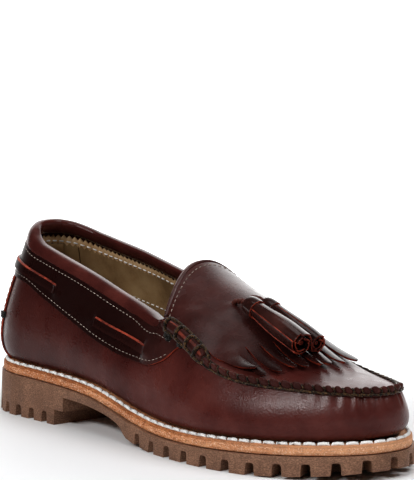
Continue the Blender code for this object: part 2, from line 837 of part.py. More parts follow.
def build_tassels(group):
    """Two tassels, each a rolled cap over a fringed skirt, and the thong that holds each."""
    for i, word in enumerate(("lateral", "medial")):
        size = {name: column[i] for name, column in TASSELS.items()}
        back = above_kiltie(size["back_x"], size["back_y"], size["back_rest"] + size["cap"])
        front = above_kiltie(size["front_x"], size["front_y"], size["front_rest"] + size["end"])
        length = float(np.linalg.norm(front - back))
        direction = (front - back) / length
        cap = [
            (0.0, CAP_LENGTH),
            (size["cap"], CAP_LENGTH),
            (size["cap"], CAP_EDGE),
            (size["cap"] - CAP_EDGE, 0.0),
            (0.0, 0.0),
        ]
        skirt = [
            (0.0, length),
            (size["end"], length),
            (size["neck"], CAP_LENGTH + GAP),
            (0.0, CAP_LENGTH + GAP),
        ]
        for piece, profile, finish in (("cap", cap, "dark_leather"), ("skirt", skirt, "lace_leather")):
            obj = turned(f"tassel_{piece}_{word}", profile, finish, group)
            obj.location = Vector(back) * MM
            obj.rotation_euler = Vector(direction).to_track_quat("Z", "Y").to_euler()
        end = back - direction * GAP
        hole = above_kiltie(size["back_x"] - TIE_RUN, size["back_y"], TIE_REST + TIE_RADIUS)
        line = [hole, (end + hole) / 2 + (0, 0, TIE_RADIUS), end - direction, end]
        tube(f"tassel_tie_{word}", line, TIE_RADIUS, "lace_leather", group)


def main():
    clear_scene()
    loafer = collection("tassel_loafer")
    tools = collection("cutting_tools")
    build_outsole(loafer, tools)
    build_midsole(loafer, tools)
    build_insole(loafer, tools)
    build_upper(loafer)
    build_collar_roll(loafer)
    build_lace_band(loafer)
    build_backstay(loafer)
    build_laces(loafer)
    build_apron_seam(loafer)
    build_kiltie(loafer)
    build_tassels(loafer)


main()
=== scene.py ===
"""Looks of the tassel loafer: leather, thread, rubber and light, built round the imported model.

The toe points along +X, the outer side of the foot is -Y, and the sole stands on Z = 0.
Every size is in millimetres and is scaled to metres when a mesh is made.
"""

import math

import bmesh
import bpy
import numpy as np
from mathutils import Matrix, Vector


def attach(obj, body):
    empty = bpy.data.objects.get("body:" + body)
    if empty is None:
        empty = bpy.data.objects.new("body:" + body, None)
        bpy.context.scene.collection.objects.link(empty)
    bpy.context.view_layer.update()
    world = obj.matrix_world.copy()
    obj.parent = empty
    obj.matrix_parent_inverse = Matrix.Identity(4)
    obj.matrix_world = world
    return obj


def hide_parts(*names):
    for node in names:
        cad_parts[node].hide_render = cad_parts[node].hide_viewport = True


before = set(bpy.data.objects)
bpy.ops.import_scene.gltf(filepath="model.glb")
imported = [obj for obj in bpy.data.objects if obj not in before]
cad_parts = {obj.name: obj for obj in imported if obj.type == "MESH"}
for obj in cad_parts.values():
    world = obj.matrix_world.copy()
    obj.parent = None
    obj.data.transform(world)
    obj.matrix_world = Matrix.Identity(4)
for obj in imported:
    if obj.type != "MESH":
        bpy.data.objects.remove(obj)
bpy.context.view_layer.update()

MM = 0.001
SIDES = LATERAL, MEDIAL = -1, 1
SIDE_WORDS = {LATERAL: "lateral", MEDIAL: "medial"}
RANDOM = np.random.default_rng(7)

# Driving dimensions, which the solids share
LENGTH = 302.0
GAP = 0.3
HEEL_ROUND = 42.0
TOE_ROUND = 84.0
END_POWER = 2.2
MIDSOLE_THICK = 5.4
MIDSOLE_INSET = 0.4
WALL_THICK = 2.0
OVERLAY_THICK = 1.1
SOLE_FLARE = 1.6
OVERSHOOT = 6.0
TOOL_TOP = 40.0
TRACE_STEPS = 600

# Heel block and tread
BREAST_X = -74.0
BREAST_OVERHANG = 8.0
BREAST_STEP_HEIGHT = 8.5
LUG_PITCH = 15.2
LUG_GROOVE = 6.6
LUG_DEPTH = 6.4
LUG_REACH = 15.0
LAST_GROOVE_X = 2.0
HEEL_LUG_PITCH = 12.4
HEEL_FIRST_GROOVE = 9.6
HEEL_GROOVE = 6.4
HEEL_GROOVE_DEPTH = 6.4
GROOVE_TAPER = 0.72
GROOVE_OVERCUT = 6.0
CENTRE_CLEARANCE = 4.0
FLAT_START_X = 24.0
FLAT_END_X = 88.0

# Collar, throat and seam
THROAT_X = 10.0
ROLL_THICK = 5.4
ROLL_END_RUN = 30.0
ROLL_UPRIGHT = 0.92
ROLL_SQUARENESS = 0.8
BESIDE_SEAM = 0.98
PLUG_POWER = 2.1
TONGUE_SWEEP = 15.0
LOWER_RISE = 0.12
UPPER_RISE = 0.60
PLUG_SKEW = 0.16
TOE_FADE = 0.1

# Kiltie and tassels
KILTIE_SPREAD = 0.86
KILTIE_START = 0.02
KILTIE_THICK = 1.5
CAP_LENGTH = 7.0
TIE_RADIUS = 1.3
TIE_RUN = 13.5
TIE_REST = 0.9

# Collar lace, band and backstay
LACE_REAR_X = -84.0
LACE_FRONT_SPAN = (-43.5, 4.0)
BAND_FRONT_X = 32.0
BAND_TOP = 0.995
BAND_TAB_END = 0.06
BACKSTAY_HALF = 35.0
BACKSTAY_CLEARANCE = 1.5


def table(columns, rows):
    """A table with named columns, as one array for each column."""
    return dict(zip(columns.split(), np.array(rows, float).T))


# Half-widths of the sole's edge, by share of the length from the heel
OUTLINE = table(
    "station lateral medial",
    [
        (0.00, 36.5, 36.0), (0.12, 38.5, 37.0), (0.25, 39.8, 36.0), (0.38, 42.0, 34.0),
        (0.50, 46.0, 37.5), (0.62, 51.8, 47.0), (0.70, 53.4, 52.8), (0.80, 51.6, 53.4),
        (0.90, 47.6, 49.5), (1.00, 41.0, 43.5),
    ],
)

# Stretches of the tread's middle that have grooves across them
CENTRE_SPANS = table(
    "start end pitch width",
    [
        (-125.0, -88.0, HEEL_LUG_PITCH, HEEL_GROOVE),
        (30.0, 118.0, LUG_PITCH, LUG_GROOVE),
    ],
)

# Height of the rubber's top and of its ground face, by place along the shoe
SOLE_TOP = table(
    "station z",
    [
        (-151.0, 22.8), (-110.0, 22.6), (-75.0, 21.8), (-45.0, 20.0), (-20.0, 15.7), (0.0, 11.9),
        (22.0, 9.8), (45.0, 9.3), (80.0, 10.2), (110.0, 11.2), (135.0, 12.4), (152.0, 13.5),
    ],
)
SOLE_GROUND = table(
    "station z",
    [
        (-66.0, 16.3), (-50.0, 15.7), (-30.0, 13.6), (-12.0, 9.4), (-4.0, 3.6), (12.0, 1.0),
        (FLAT_START_X, 0.0), (FLAT_END_X, 0.0), (112.0, 1.0), (135.0, 2.8), (154.0, 5.4),
    ],
)

# Wall of the upper, by share of the length: how far in from the sole's edge its foot and its
# top lie, how far the wall swells out above its foot and below its top, and its rim's height
WALL = table(
    "station foot_inset low_swell high_swell lateral_inset medial_inset lateral_rim medial_rim",
    [
        (0.00, 6.5, 14.5, 9.5, 15.0, 15.0, 106.0, 106.0),
        (0.05, 6.5, 14.5, 9.5, 15.0, 15.0, 103.0, 104.0),
        (0.09, 6.5, 14.0, 9.5, 14.8, 14.4, 99.3, 101.8),
        (0.18, 6.5, 12.5, 9.5, 13.6, 11.5, 92.7, 96.6),
        (0.29, 7.0, 12.0, 9.5, 12.6, 9.5, 85.2, 90.6),
        (0.39, 7.0, 12.0, 9.0, 12.4, 8.5, 77.2, 83.7),
        (0.50, 7.0, 11.5, 8.5, 13.6, 9.0, 69.0, 74.6),
        (0.535, 7.2, 11.5, 8.5, 13.8, 10.0, 67.0, 70.6),
        (0.58, 7.4, 11.5, 8.5, 14.0, 12.0, 64.0, 65.0),
        (0.64, 7.6, 11.5, 8.5, 13.2, 14.0, 58.0, 56.6),
        (0.70, 7.8, 11.5, 8.5, 11.4, 15.0, 50.0, 49.8),
        (0.80, 8.0, 11.2, 8.5, 10.6, 17.0, 45.5, 44.6),
        (0.90, 8.6, 11.2, 7.0, 8.0, 13.6, 44.7, 43.2),
        (1.00, 11.0, 13.2, 5.5, 4.8, 4.8, 43.6, 43.6),
    ],
)

# Height of the collar's roll on each side, by share of the length
ROLL_HEIGHTS = table(
    "station lateral medial",
    [
        (0.00, 9.0, 9.0), (0.05, 8.1, 9.0), (0.09, 6.9, 9.0), (0.18, 5.8, 9.0), (0.29, 5.6, 9.0),
        (1.00, 5.6, 9.0),
    ],
)

# Height of the apron along its middle, from the tongue's top to the toe
PLUG_CREST = table(
    "station z",
    [
        (-6.0, 96.0), (12.0, 88.2), (32.0, 80.8), (45.0, 75.9), (60.0, 69.0), (75.0, 61.6),
        (90.0, 54.8), (103.0, 50.0), (120.0, 47.2), (135.0, 45.6), (146.0, 43.8),
    ],
)

# Lower edge of the laced band below the collar
BAND_LOW = table(
    "station z",
    [
        (-151.0, 77.0), (-116.0, 74.6), (-94.0, 68.0), (-60.0, 57.5), (-35.0, 50.0), (-14.0, 45.8),
        (8.0, 44.2), (20.0, 47.4), (32.0, 56.6),
    ],
)

# Height of the collar lace's middle
LACE_LINE = table(
    "station z",
    [(-151.0, 84.5), (-133.0, 83.0), (-92.0, 75.5), (-43.5, 60.6), (4.0, 51.0)],
)

# Each tassel: where its axis starts and ends, how far its cap and its fringe are held off the
# kiltie, and its radius at the cap, at the neck of the fringe and at the fringe's end
TASSELS = table(
    "back_x back_y front_x front_y back_rest front_rest cap neck end",
    [
        (53.0, -9.5, 96.0, -10.6, 1.6, 3.0, 5.2, 5.0, 6.0),
        (55.0, 0.6, 95.0, 0.8, 0.9, 1.8, 4.3, 4.2, 4.9),
    ],
)


def smooth(rows, column, at):
    """A table's column at any station, along a curve that never overshoots its rows."""
    x, y = rows["station"], rows[column]
    step = np.diff(x)
    slope = np.diff(y) / step
    tangent = np.concatenate([slope[:1], np.zeros(len(slope) - 1), slope[-1:]])
    agree = slope[1:] * slope[:-1] > 0
    both = np.where(agree, slope[1:] + slope[:-1], 1.0)
    tangent[1:-1] = np.where(agree, 2 * slope[1:] * slope[:-1] / both, 0.0)
    at = np.clip(np.asarray(at, float), x[0], x[-1])
    i = np.clip(np.searchsorted(x, at) - 1, 0, len(step) - 1)
    u = (at - x[i]) / step[i]
    rise = u * u * (3 - 2 * u)
    return (
        y[i] * (1 - rise)
        + y[i + 1] * rise
        + step[i] * u * (1 - u) * ((1 - u) * tangent[i] - u * tangent[i + 1])
    )


def rounded_end(distance, reach):
    """Share of the full width at a distance from a round end."""
    q = np.clip(distance / reach, 0.0, 1.0)
    return (1 - (1 - q) ** END_POWER) ** (1 / END_POWER)


def run_along(points):
    """Distance from the first of a row of points to each of them, along the row."""
    return np.concatenate([[0], np.cumsum(np.linalg.norm(np.diff(points, axis=0), axis=1))])


def trace_edge(side):
    """The sole's edge on one side, heel to toe: points, outward normals and share of its length."""
    station = (1 - np.cos(np.linspace(0, math.pi, TRACE_STEPS))) / 2
    run = station * LENGTH
    ends = rounded_end(run, HEEL_ROUND) * rounded_end(LENGTH - run, TOE_ROUND)
    half = smooth(OUTLINE, SIDE_WORDS[side], station) * ends
    points = np.stack([run - LENGTH / 2, side * half], 1)
    tangent = np.gradient(points, axis=0)
    tangent[0], tangent[-1] = (0, side), (0, -side)
    normal = np.stack([-tangent[:, 1], tangent[:, 0]], 1) * side
    normal /= np.linalg.norm(normal, axis=1)[:, None]
    share = run_along(points)
    return points, normal, share / share[-1], share[-1]


EDGES = {side: trace_edge(side) for side in SIDES}


def edge_at(side, share):
    """Points and outward normals at shares of one side's edge."""
    points, normal, shares, _ = EDGES[side]
    at = [np.interp(share, shares, column) for column in (*points.T, *normal.T)]
    outward = np.stack(at[2:], -1)
    return np.stack(at[:2], -1), outward / np.linalg.norm(outward, axis=-1)[..., None]


def share_at_x(side, x):
    """Share of one side's edge at a place along the shoe."""
    points, _, shares, _ = EDGES[side]
    return np.interp(x, points[:, 0], shares)


def length_share(x):
    """Share of the shoe's length at a place along it."""
    return x / LENGTH + 0.5


def ring(inset, count, from_foot=False):
    """The sole's edge, or the wall's foot, moved in: one loop, lateral side out and medial side back."""
    share = np.linspace(0, 1, count)
    loops = []
    for side, order in ((LATERAL, share[:-1]), (MEDIAL, share[:0:-1])):
        points, outward = edge_at(side, order)
        moved = np.full(len(order), float(inset))
        if from_foot:
            moved += smooth(WALL, "foot_inset", length_share(points[:, 0]))
        loops.append(points - moved[:, None] * outward)
    return np.concatenate(loops)


def sole_top(x):
    return smooth(SOLE_TOP, "z", x)


def midsole_top(x):
    return sole_top(x) + GAP + MIDSOLE_THICK


def roll_height(side, x):
    """Height of the collar's roll, which runs out towards the throat."""
    full = smooth(ROLL_HEIGHTS, SIDE_WORDS[side], length_share(x))
    share = np.clip((THROAT_X - x) / ROLL_END_RUN, 0.0, 1.0)
    return full * np.sin(share * math.pi / 2)


def wall(side, share, height):
    """The wall's outer face: share runs heel to toe, height from the sole (0) to the top (1)."""
    share, height = np.atleast_1d(share), np.asarray(height, float)
    edge, outward = edge_at(side, share)
    station, word = length_share(edge[:, 0]), SIDE_WORDS[side]
    foot, top = -smooth(WALL, "foot_inset", station), -smooth(WALL, f"{word}_inset", station)
    low_swell, high_swell = smooth(WALL, "low_swell", station), smooth(WALL, "high_swell", station)
    low = midsole_top(edge[:, 0] + foot * outward[:, 0]) + GAP
    high = smooth(WALL, f"{word}_rim", station) - ROLL_UPRIGHT * roll_height(side, edge[:, 0])
    rise = high - low
    out = [foot, foot + low_swell, top + high_swell, top]
    up = [low, low + LOWER_RISE * rise, low + UPPER_RISE * rise, high]
    v = np.broadcast_to(height, (len(share),) + height.shape[-1:])
    weights = [(1 - v) ** 3, 3 * (1 - v) ** 2 * v, 3 * (1 - v) * v**2, v**3]
    reach = sum(w * o[:, None] for w, o in zip(weights, out))
    z = sum(w * h[:, None] for w, h in zip(weights, up))
    flat = edge[:, None, :] + reach[..., None] * outward[:, None, :]
    return np.concatenate([flat, z[..., None]], -1)


def wall_top(side, share):
    """The wall's top edge."""
    return wall(side, share, np.array([1.0]))[:, 0]


def seam(side, along):
    """The seam between wall and apron: along runs from the throat (0) to the toe (1)."""
    start = share_at_x(side, THROAT_X)
    return wall_top(side, start + np.asarray(along) * (1 - start))


def plug(along, across):
    """The apron and tongue's outer face: across runs from the lateral seam (-1) to the medial (1)."""
    along = np.atleast_1d(along)
    outer, inner = seam(LATERAL, along), seam(MEDIAL, along)
    across = np.broadcast_to(across, (len(along), np.shape(across)[-1]))
    middle, half = (outer + inner) / 2, (inner - outer) / 2
    points = middle[:, None, :] + half[:, None, :] * across[..., None]
    sweep = TONGUE_SWEEP * (1 - along) ** 2
    crest = smooth(PLUG_CREST, "z", middle[:, 0] - sweep) - middle[:, 2]
    crest *= np.clip((1 - along) / TOE_FADE, 0, 1)
    skewed = (across - PLUG_SKEW) / (1 - PLUG_SKEW * across)
    arch = 1 - np.abs(skewed) ** PLUG_POWER
    points[..., 0] -= sweep[:, None] * arch
    points[..., 2] += crest[:, None] * arch
    return points


def along_at_x(x):
    """Where along the apron its middle reaches a place along the shoe."""
    along = np.linspace(0, 1, 200)
    return np.interp(x, plug(along, np.array([0.0]))[:, 0, 0], along)


def unit(vectors):
    return vectors / np.linalg.norm(vectors, axis=-1, keepdims=True)


def with_normals(surface, first, second):
    """Points of a surface that is a function of two parameters, and its directions there."""
    nudge = 1e-3
    side_one = surface(first + nudge, second) - surface(first - nudge, second)
    side_two = surface(first, second + nudge) - surface(first, second - nudge)
    return surface(first, second), unit(np.cross(side_one, side_two))


def on_wall(side, share, height):
    """Points on the wall, one row of heights for each share, and the outward directions there."""
    points, normal = with_normals(lambda a, b: wall(side, a, b), np.asarray(share, float), height)
    return points, -side * normal


def on_plug(along, across):
    """Points on the apron for arrays of both parameters, and the outward directions there."""
    along, across = np.broadcast_arrays(along, across)
    points, normal = with_normals(plug, along.ravel().astype(float), across.reshape(-1, 1).astype(float))
    return points.reshape(*along.shape, 3), normal.reshape(*along.shape, 3)


def height_share(side, share, z):
    """How far up the wall a height lies."""
    steps = np.linspace(0, 1, 60)
    rows = zip(np.atleast_1d(z), wall(side, share, steps))
    return np.array([np.interp(level, row[:, 2], steps) for level, row in rows])


def wall_line(side, share, z, off):
    """A line along the wall at given heights, moved off it, and the outward directions there."""
    points, normal = on_wall(side, share, height_share(side, share, z)[:, None])
    return points[:, 0] + normal[:, 0] * off, normal[:, 0]


# Share by which a line stops short of an end, where a surface has no normal
NUDGE = 1e-4


def back_shares(end, count):
    """Shares from the middle of the heel's back, nudged off it so that a normal exists there."""
    return np.concatenate([[NUDGE], np.linspace(0, end, count)[1:]])


def even_across(spread):
    """Places across the apron, spaced evenly along its arch."""
    return np.sin(spread) / math.sin(1)


def full_turn(count):
    """Angles spaced evenly round a circle."""
    return np.linspace(0, 2 * math.pi, count, endpoint=False)


def ease(value):
    """A soft step from 0 to 1."""
    value = np.clip(value, 0.0, 1.0)
    return value * value * (3 - 2 * value)


def hump(value):
    """A soft bump of height 1 about 0, gone by about 2."""
    return np.exp(-np.square(value))


class Path:
    """A line of points with directions beside it, read at any distance from its start."""

    def __init__(self, points, *directions):
        self.columns = [np.asarray(c, float) for c in (points, *directions)]
        self.run = run_along(self.columns[0])
        self.length = self.run[-1]

    def at(self, distance):
        """Points and unit directions at distances along the line."""
        read = []
        for column in self.columns:
            read.append(np.stack([np.interp(distance, self.run, c) for c in column.T], -1))
        return [read[0]] + [unit(r) for r in read[1:]]


# Tilts the direction beside a bar, in case moving its axes round leaves it along the bar
OFF_AXIS = 0.31
# Points nearer than the first are joined, and faces thinner than the second go
WELD, LEAST_EDGE = 0.002, 0.001


class Shape:
    """Grids of points collected into one mesh, with a material number for each face."""

    def __init__(self):
        self.points, self.faces, self.kinds, self.count = [], [], [], 0

    def grid(self, points, outward=None, around=False, along=False, caps=False, kind=0):
        """Faces between neighbouring points. Rows close up if along is set, columns if around is."""
        rows, columns = points.shape[:2]
        i = np.arange(rows if along else rows - 1)
        j = np.arange(columns if around else columns - 1)
        a, b = (m.ravel() for m in np.meshgrid(i, j, indexing="ij"))
        c, d = (a + 1) % rows, (b + 1) % columns
        quads = np.stack([a * columns + b, a * columns + d, c * columns + d, c * columns + b], -1)
        if outward is not None:
            flat, ways = points.reshape(-1, 3), outward.reshape(-1, 3)
            one, two, three = (flat[quads[:, k]] for k in range(3))
            facing = np.einsum("ij,ij->i", np.cross(two - one, three - one), ways[quads[:, 0]])
            if facing.sum() < 0:
                quads = quads[:, ::-1]
        faces = [tuple(q) for q in quads + self.count]
        kinds = list(np.broadcast_to(kind, (rows, columns))[a, b])
        if caps:
            ends = (np.arange(columns)[::-1], np.arange(columns) + (rows - 1) * columns)
            faces += [tuple(e + self.count) for e in ends]
            kinds += [kinds[0], kinds[-1]]
        self.points.append(points.reshape(-1, 3))
        self.faces += faces
        self.kinds += kinds
        self.count += rows * columns
        return self

    def bars(self, paths, radius, sides=6, taper=0.35):
        """A round bar along each of several paths of equal length, thinner at its two ends."""
        paths = np.asarray(paths, float)
        tangent = unit(np.gradient(paths, axis=1))
        # The direction at a bar's start with its axes moved round, so that it is not along the bar
        beside = np.roll(tangent[:, :1], 1, axis=-1) + (0.0, 0.0, OFF_AXIS)
        aside = unit(np.cross(tangent, beside))
        above = np.cross(tangent, aside)
        size = np.full(paths.shape[1], float(radius))
        size[[0, -1]] *= taper
        turn = full_turn(sides)
        across = np.cos(turn)[:, None] * aside[:, :, None, :] + np.sin(turn)[:, None] * above[:, :, None, :]
        for line in paths[:, :, None, :] + across * size[:, None, None]:
            self.grid(line, around=True, caps=True)
        return self

    def mesh(self, name, closed=True, sharp=None):
        """The mesh in metres, welded where grids share points."""
        made = bpy.data.meshes.new(name)
        made.from_pydata((np.concatenate(self.points) * MM).tolist(), [], self.faces)
        made.polygons.foreach_set("material_index", np.array(self.kinds, np.int32))
        bm = bmesh.new()
        bm.from_mesh(made)
        bmesh.ops.remove_doubles(bm, verts=bm.verts, dist=WELD * MM)
        bmesh.ops.dissolve_degenerate(bm, edges=bm.edges, dist=LEAST_EDGE * MM)
        if closed:
            bmesh.ops.recalc_face_normals(bm, faces=bm.faces)
        bm.to_mesh(made)
        bm.free()
        made.shade_smooth()
        if sharp:
            made.set_sharp_from_angle(angle=math.radians(sharp))
        return made


def put(name, data):
    """A new object in the scene."""
    obj = bpy.data.objects.new(name, data)
    bpy.context.scene.collection.objects.link(obj)
    return obj


def piece(name, mesh, finishes, slot, *nodes):
    """An object of the shoe, with its materials, on the shoe's one body."""
    obj = put(name, mesh)
    for finish in finishes:
        mesh.materials.append(finish)
    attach(obj, "root")
    if nodes:
        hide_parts(*nodes)
    return obj


def solid(name, shape, finishes, slot, *nodes, sharp=None):
    """A piece with a closed mesh."""
    return piece(name, shape.mesh(name, sharp=sharp), finishes, slot, *nodes)


def soften(obj, width, angle):
    """Rounds an object's edges that are sharper than an angle."""
    worn = obj.modifiers.new("worn edge", "BEVEL")
    worn.width = width * MM
    worn.segments = 2
    worn.limit_method = "ANGLE"
    worn.angle_limit = math.radians(angle)
    return worn


# Edges of a sheet that are sharper than this are softened, in degrees
SHEET_ANGLE = 50


def sheet(name, shape, thick, finishes, slot, *nodes, inward=False, rim=1, edge=0.25):
    """A piece made of a sheet, whose rim has the material of the given number, with a softened edge."""
    obj = piece(name, shape.mesh(name, closed=False), finishes, slot, *nodes)
    shell = obj.modifiers.new("thickness", "SOLIDIFY")
    shell.thickness = thick * MM
    shell.offset = -1.0 if inward else 1.0
    shell.use_even_offset = True
    shell.material_offset_rim = rim
    if edge:
        soften(obj, edge, SHEET_ANGLE).harden_normals = True


# Materials


def new_material(name):
    made = bpy.data.materials.new(name)
    made.use_nodes = True
    return made, made.node_tree, made.node_tree.nodes["Principled BSDF"]


def feed(tree, socket, value):
    """Gives a shader's socket a link, a number, or a colour or direction."""
    if isinstance(value, bpy.types.NodeSocket):
        tree.links.new(value, socket)
    elif np.isscalar(value):
        socket.default_value = value
    else:
        socket.default_value = (*value, 1.0)[:len(socket.default_value)]


def fill(tree, node, **values):
    """Sets a shader node's settings and inputs by name."""
    for key, value in values.items():
        word = key.replace("_", " ").title().replace("Ior", "IOR")
        if word in node.inputs:
            feed(tree, node.inputs[word], value)
        else:
            setattr(node, key, value)


def add(tree, kind, **values):
    """A new shader node with its settings and inputs given by name."""
    node = tree.nodes.new("ShaderNode" + kind)
    fill(tree, node, **values)
    return node


def compute(tree, operation, *values, kind="Math"):
    """The outputs of a sum on links or plain values."""
    node = add(tree, kind, operation=operation)
    for socket, value in zip(node.inputs, values):
        feed(tree, socket, value)
    return node.outputs


def place_in(tree, stretch=None):
    """The place on the object, in metres, with each axis stretched."""
    where = add(tree, "TexCoord").outputs["Object"]
    if stretch is None:
        return where
    return add(tree, "Mapping", vector=where, scale=stretch).outputs["Vector"]


def noise(tree, where, size, detail=3.0, roughness=0.55):
    """Soft noise with features of about a size in millimetres."""
    node = add(tree, "TexNoise", vector=where, scale=1.0 / (size * MM), detail=detail, roughness=roughness)
    return node.outputs["Fac"]


def cells(tree, where, size):
    """Rounded cells of about a size in millimetres, such as pores."""
    node = add(tree, "TexVoronoi", vector=where, scale=1.0 / (size * MM), feature="SMOOTH_F1")
    return node.outputs["Distance"]


def ramp(tree, value, *stops):
    """Colours or grey values at places of a value."""
    node = add(tree, "ValToRGB", fac=value)
    marks = node.color_ramp.elements
    while len(marks) < len(stops):
        marks.new(0.5)
    for mark, (place, colour) in zip(marks, stops):
        mark.position = place
        grey = (colour,) * 3 if np.isscalar(colour) else colour
        mark.color = (*grey, 1.0)
    return node.outputs["Color"]


# Numbers of a colour mix's sockets: its share, its two colours and its result
MIX_INPUTS = 0, 6, 7
MIX_RESULT = 2


def blend(tree, share, one, two):
    """Two colours mixed by a share, each of them a link or a plain value."""
    node = add(tree, "Mix", data_type="RGBA")
    for number, value in zip(MIX_INPUTS, (share, one, two)):
        feed(tree, node.inputs[number], value)
    return node.outputs[MIX_RESULT]


def total(tree, one, two, weight):
    """One value plus a share of another."""
    return compute(tree, "MULTIPLY_ADD", two, weight, one)[0]


def bump(tree, shader, height, strength, depth):
    """Relief from a height value, with a depth in millimetres."""
    node = add(tree, "Bump", height=height, strength=strength, distance=depth * MM)
    fill(tree, shader, normal=node.outputs["Normal"])


def between(tree, value, start, end, first, last):
    """A value that runs from first to last while another runs from start to end."""
    node = add(tree, "MapRange", value=value, from_min=start, from_max=end, to_min=first, to_max=last)
    return node.outputs["Result"]


def along_shoe(tree, where, start, end, first, last, axis="X"):
    """A value that runs from first to last between two places along the shoe, in millimetres."""
    place = add(tree, "SeparateXYZ", vector=where).outputs[axis]
    return between(tree, place, start * MM, end * MM, first, last)


# Leather's raised edges, by how proud they stand, and how much of the rubbed colour shows there
PROUD = 0.52, 0.60
RUBBED = 0.25
# Polish is kept down to this share close to the sole, and reaches its full share between these heights
DULL_SHARE = 0.35
DULL_HEIGHTS = 26.0, 37.0
# How much glossier and duller than its mean a leather is
GLOSS_SPREAD = 0.06, 0.08
# Sizes in millimetres of its patches, mottling, gloss, pores, grain and soft creases
PATCH, MOTTLE, GLOSS, PORE, GRAIN, CREASE = 42.0, 3.5, 9.0, 1.0, 0.35, 6.0
MOTTLE_SHARE, GRAIN_SHARE, CREASE_SHARE = 0.16, 0.6, 1.2
PORE_DEPTH = 0.12


def leather(name, deep, mid, bright, roughness, grain=0.25, specular=0.28, painted_shade=None, polish=None):
    """Polished leather: soft patches of colour, darkened along the shoe as painted shade, with pores and
    rubbed edges.
    """
    made, tree, shader = new_material(name)
    where = place_in(tree)
    patches = total(tree, noise(tree, where, PATCH, detail=4.0), noise(tree, where, MOTTLE), MOTTLE_SHARE)
    colour = ramp(tree, patches, (0.42, deep), (0.58, mid), (0.74, bright))
    # Painted shade: between two places along the shoe the colour darkens towards half its deepest tone.
    if painted_shade:
        dark_x, clear_x, most = painted_shade
        painted_shade_share = along_shoe(tree, where, dark_x, clear_x, most, 0.0)
        colour = blend(tree, painted_shade_share, colour, [c / 2 for c in deep])
    proud = ramp(tree, add(tree, "NewGeometry").outputs["Pointiness"], (PROUD[0], 0.0), (PROUD[1], 1.0))
    rubbed = blend(tree, proud, (0.0, 0.0, 0.0), (RUBBED,) * 3)
    glossy, dull = roughness - GLOSS_SPREAD[0], roughness + GLOSS_SPREAD[1]
    gloss = ramp(tree, noise(tree, where, GLOSS, detail=4.0), (0.3, glossy), (0.7, dull))
    fill(tree, shader, base_color=blend(tree, rubbed, colour, bright), roughness=gloss)
    fill(tree, shader, specular_ior_level=specular)
    if polish:
        plain_x, bright_x, most = polish
        by_length = along_shoe(tree, where, plain_x, bright_x, specular, most)
        by_height = along_shoe(tree, where, *DULL_HEIGHTS, DULL_SHARE, 1.0, "Z")
        fill(tree, shader, specular_ior_level=compute(tree, "MULTIPLY", by_length, by_height)[0])
    pores = total(tree, cells(tree, where, PORE), noise(tree, where, GRAIN, detail=2.0), GRAIN_SHARE)
    relief = total(tree, pores, noise(tree, where, CREASE), CREASE_SHARE)
    bump(tree, shader, relief, grain, PORE_DEPTH)
    return made


def raw_edge(name, deep, bright):
    """The cut edge of leather: red, matt and fibrous."""
    made, tree, shader = new_material(name)
    where = place_in(tree)
    fibre = noise(tree, where, 0.5)
    mixed = total(tree, noise(tree, where, 7.0, detail=2.0), fibre, 0.4)
    colour = ramp(tree, mixed, (0.55, deep), (0.85, bright))
    fill(tree, shader, base_color=colour, roughness=0.55, specular_ior_level=0.3)
    bump(tree, shader, fibre, strength=0.5, depth=0.15)
    return made


def thread(name, dark, light, size, roughness, spread=(0.5, 0.95)):
    """Twisted thread with fine fibres."""
    made, tree, shader = new_material(name)
    where = place_in(tree)
    strand = total(tree, noise(tree, where, size), noise(tree, where, size / 4, detail=2.0), 0.5)
    colour = ramp(tree, strand, (spread[0], dark), (spread[1], light))
    fill(tree, shader, base_color=colour, roughness=roughness, specular_ior_level=0.12, sheen_weight=0.15)
    bump(tree, shader, strand, strength=0.6, depth=0.2)
    return made


# The sole's leather has painted shade at the heel and painted light at the toe: each start and end along the
# shoe, in millimetres, with the most of it, and the lit colour
HEEL_PAINTED_SHADE = -150.0, 0.0, 0.4
TOE_PAINTED_LIGHT = 40.0, 150.0, 0.42
TOE_LIT_COLOUR = 0.86, 0.52, 0.32


def natural_leather(name, dark, mid, pale, fleck, speck):
    """Undyed leather cut across its fibres, with layers, flecks and specks."""
    made, tree, shader = new_material(name)
    where = place_in(tree)
    layers = noise(tree, place_in(tree, (0.35, 0.35, 1.4)), 2.0, detail=4.0, roughness=0.65)
    tone = total(tree, layers, noise(tree, where, 24.0), 0.6)
    colour = ramp(tree, tone, (0.58, dark), (0.8, mid), (1.0, pale))
    # Painted shade: the colour darkens towards the heel.
    start, end, most = HEEL_PAINTED_SHADE
    colour = blend(tree, along_shoe(tree, where, start, end, most, 0.0), colour, dark)
    fibres = noise(tree, place_in(tree, (0.4, 0.4, 1.2)), 1.1, detail=3.0, roughness=0.7)
    colour = blend(tree, ramp(tree, fibres, (0.38, 0.8), (0.48, 0.0)), colour, fleck)
    # Painted light: the colour pales towards the toe.
    start, end, most = TOE_PAINTED_LIGHT
    colour = blend(tree, along_shoe(tree, where, start, end, 0.0, most), colour, TOE_LIT_COLOUR)
    grains = noise(tree, place_in(tree, (1.0, 1.0, 1.3)), 0.8, detail=2.0, roughness=0.7)
    colour = blend(tree, ramp(tree, grains, (0.54, 0.0), (0.64, 0.75)), colour, speck)
    fill(tree, shader, base_color=colour, roughness=0.72, specular_ior_level=0.2)
    bump(tree, shader, total(tree, layers, noise(tree, where, 0.8), 0.8), strength=0.6, depth=0.28)
    return made


def lining_leather(name, dark, mid, pale):
    """Matt lining with a fine nap and faint marks of wear."""
    made, tree, shader = new_material(name)
    where = place_in(tree)
    patches = total(tree, noise(tree, where, 18.0, detail=4.0), noise(tree, where, 1.2, detail=2.0), 0.15)
    colour = ramp(tree, patches, (0.4, dark), (0.6, mid), (0.8, pale))
    fill(tree, shader, base_color=colour, roughness=0.7, specular_ior_level=0.25)
    nap = total(tree, cells(tree, where, 0.6), noise(tree, where, 0.3, detail=2.0), 0.8)
    bump(tree, shader, nap, strength=0.25, depth=0.1)
    return made


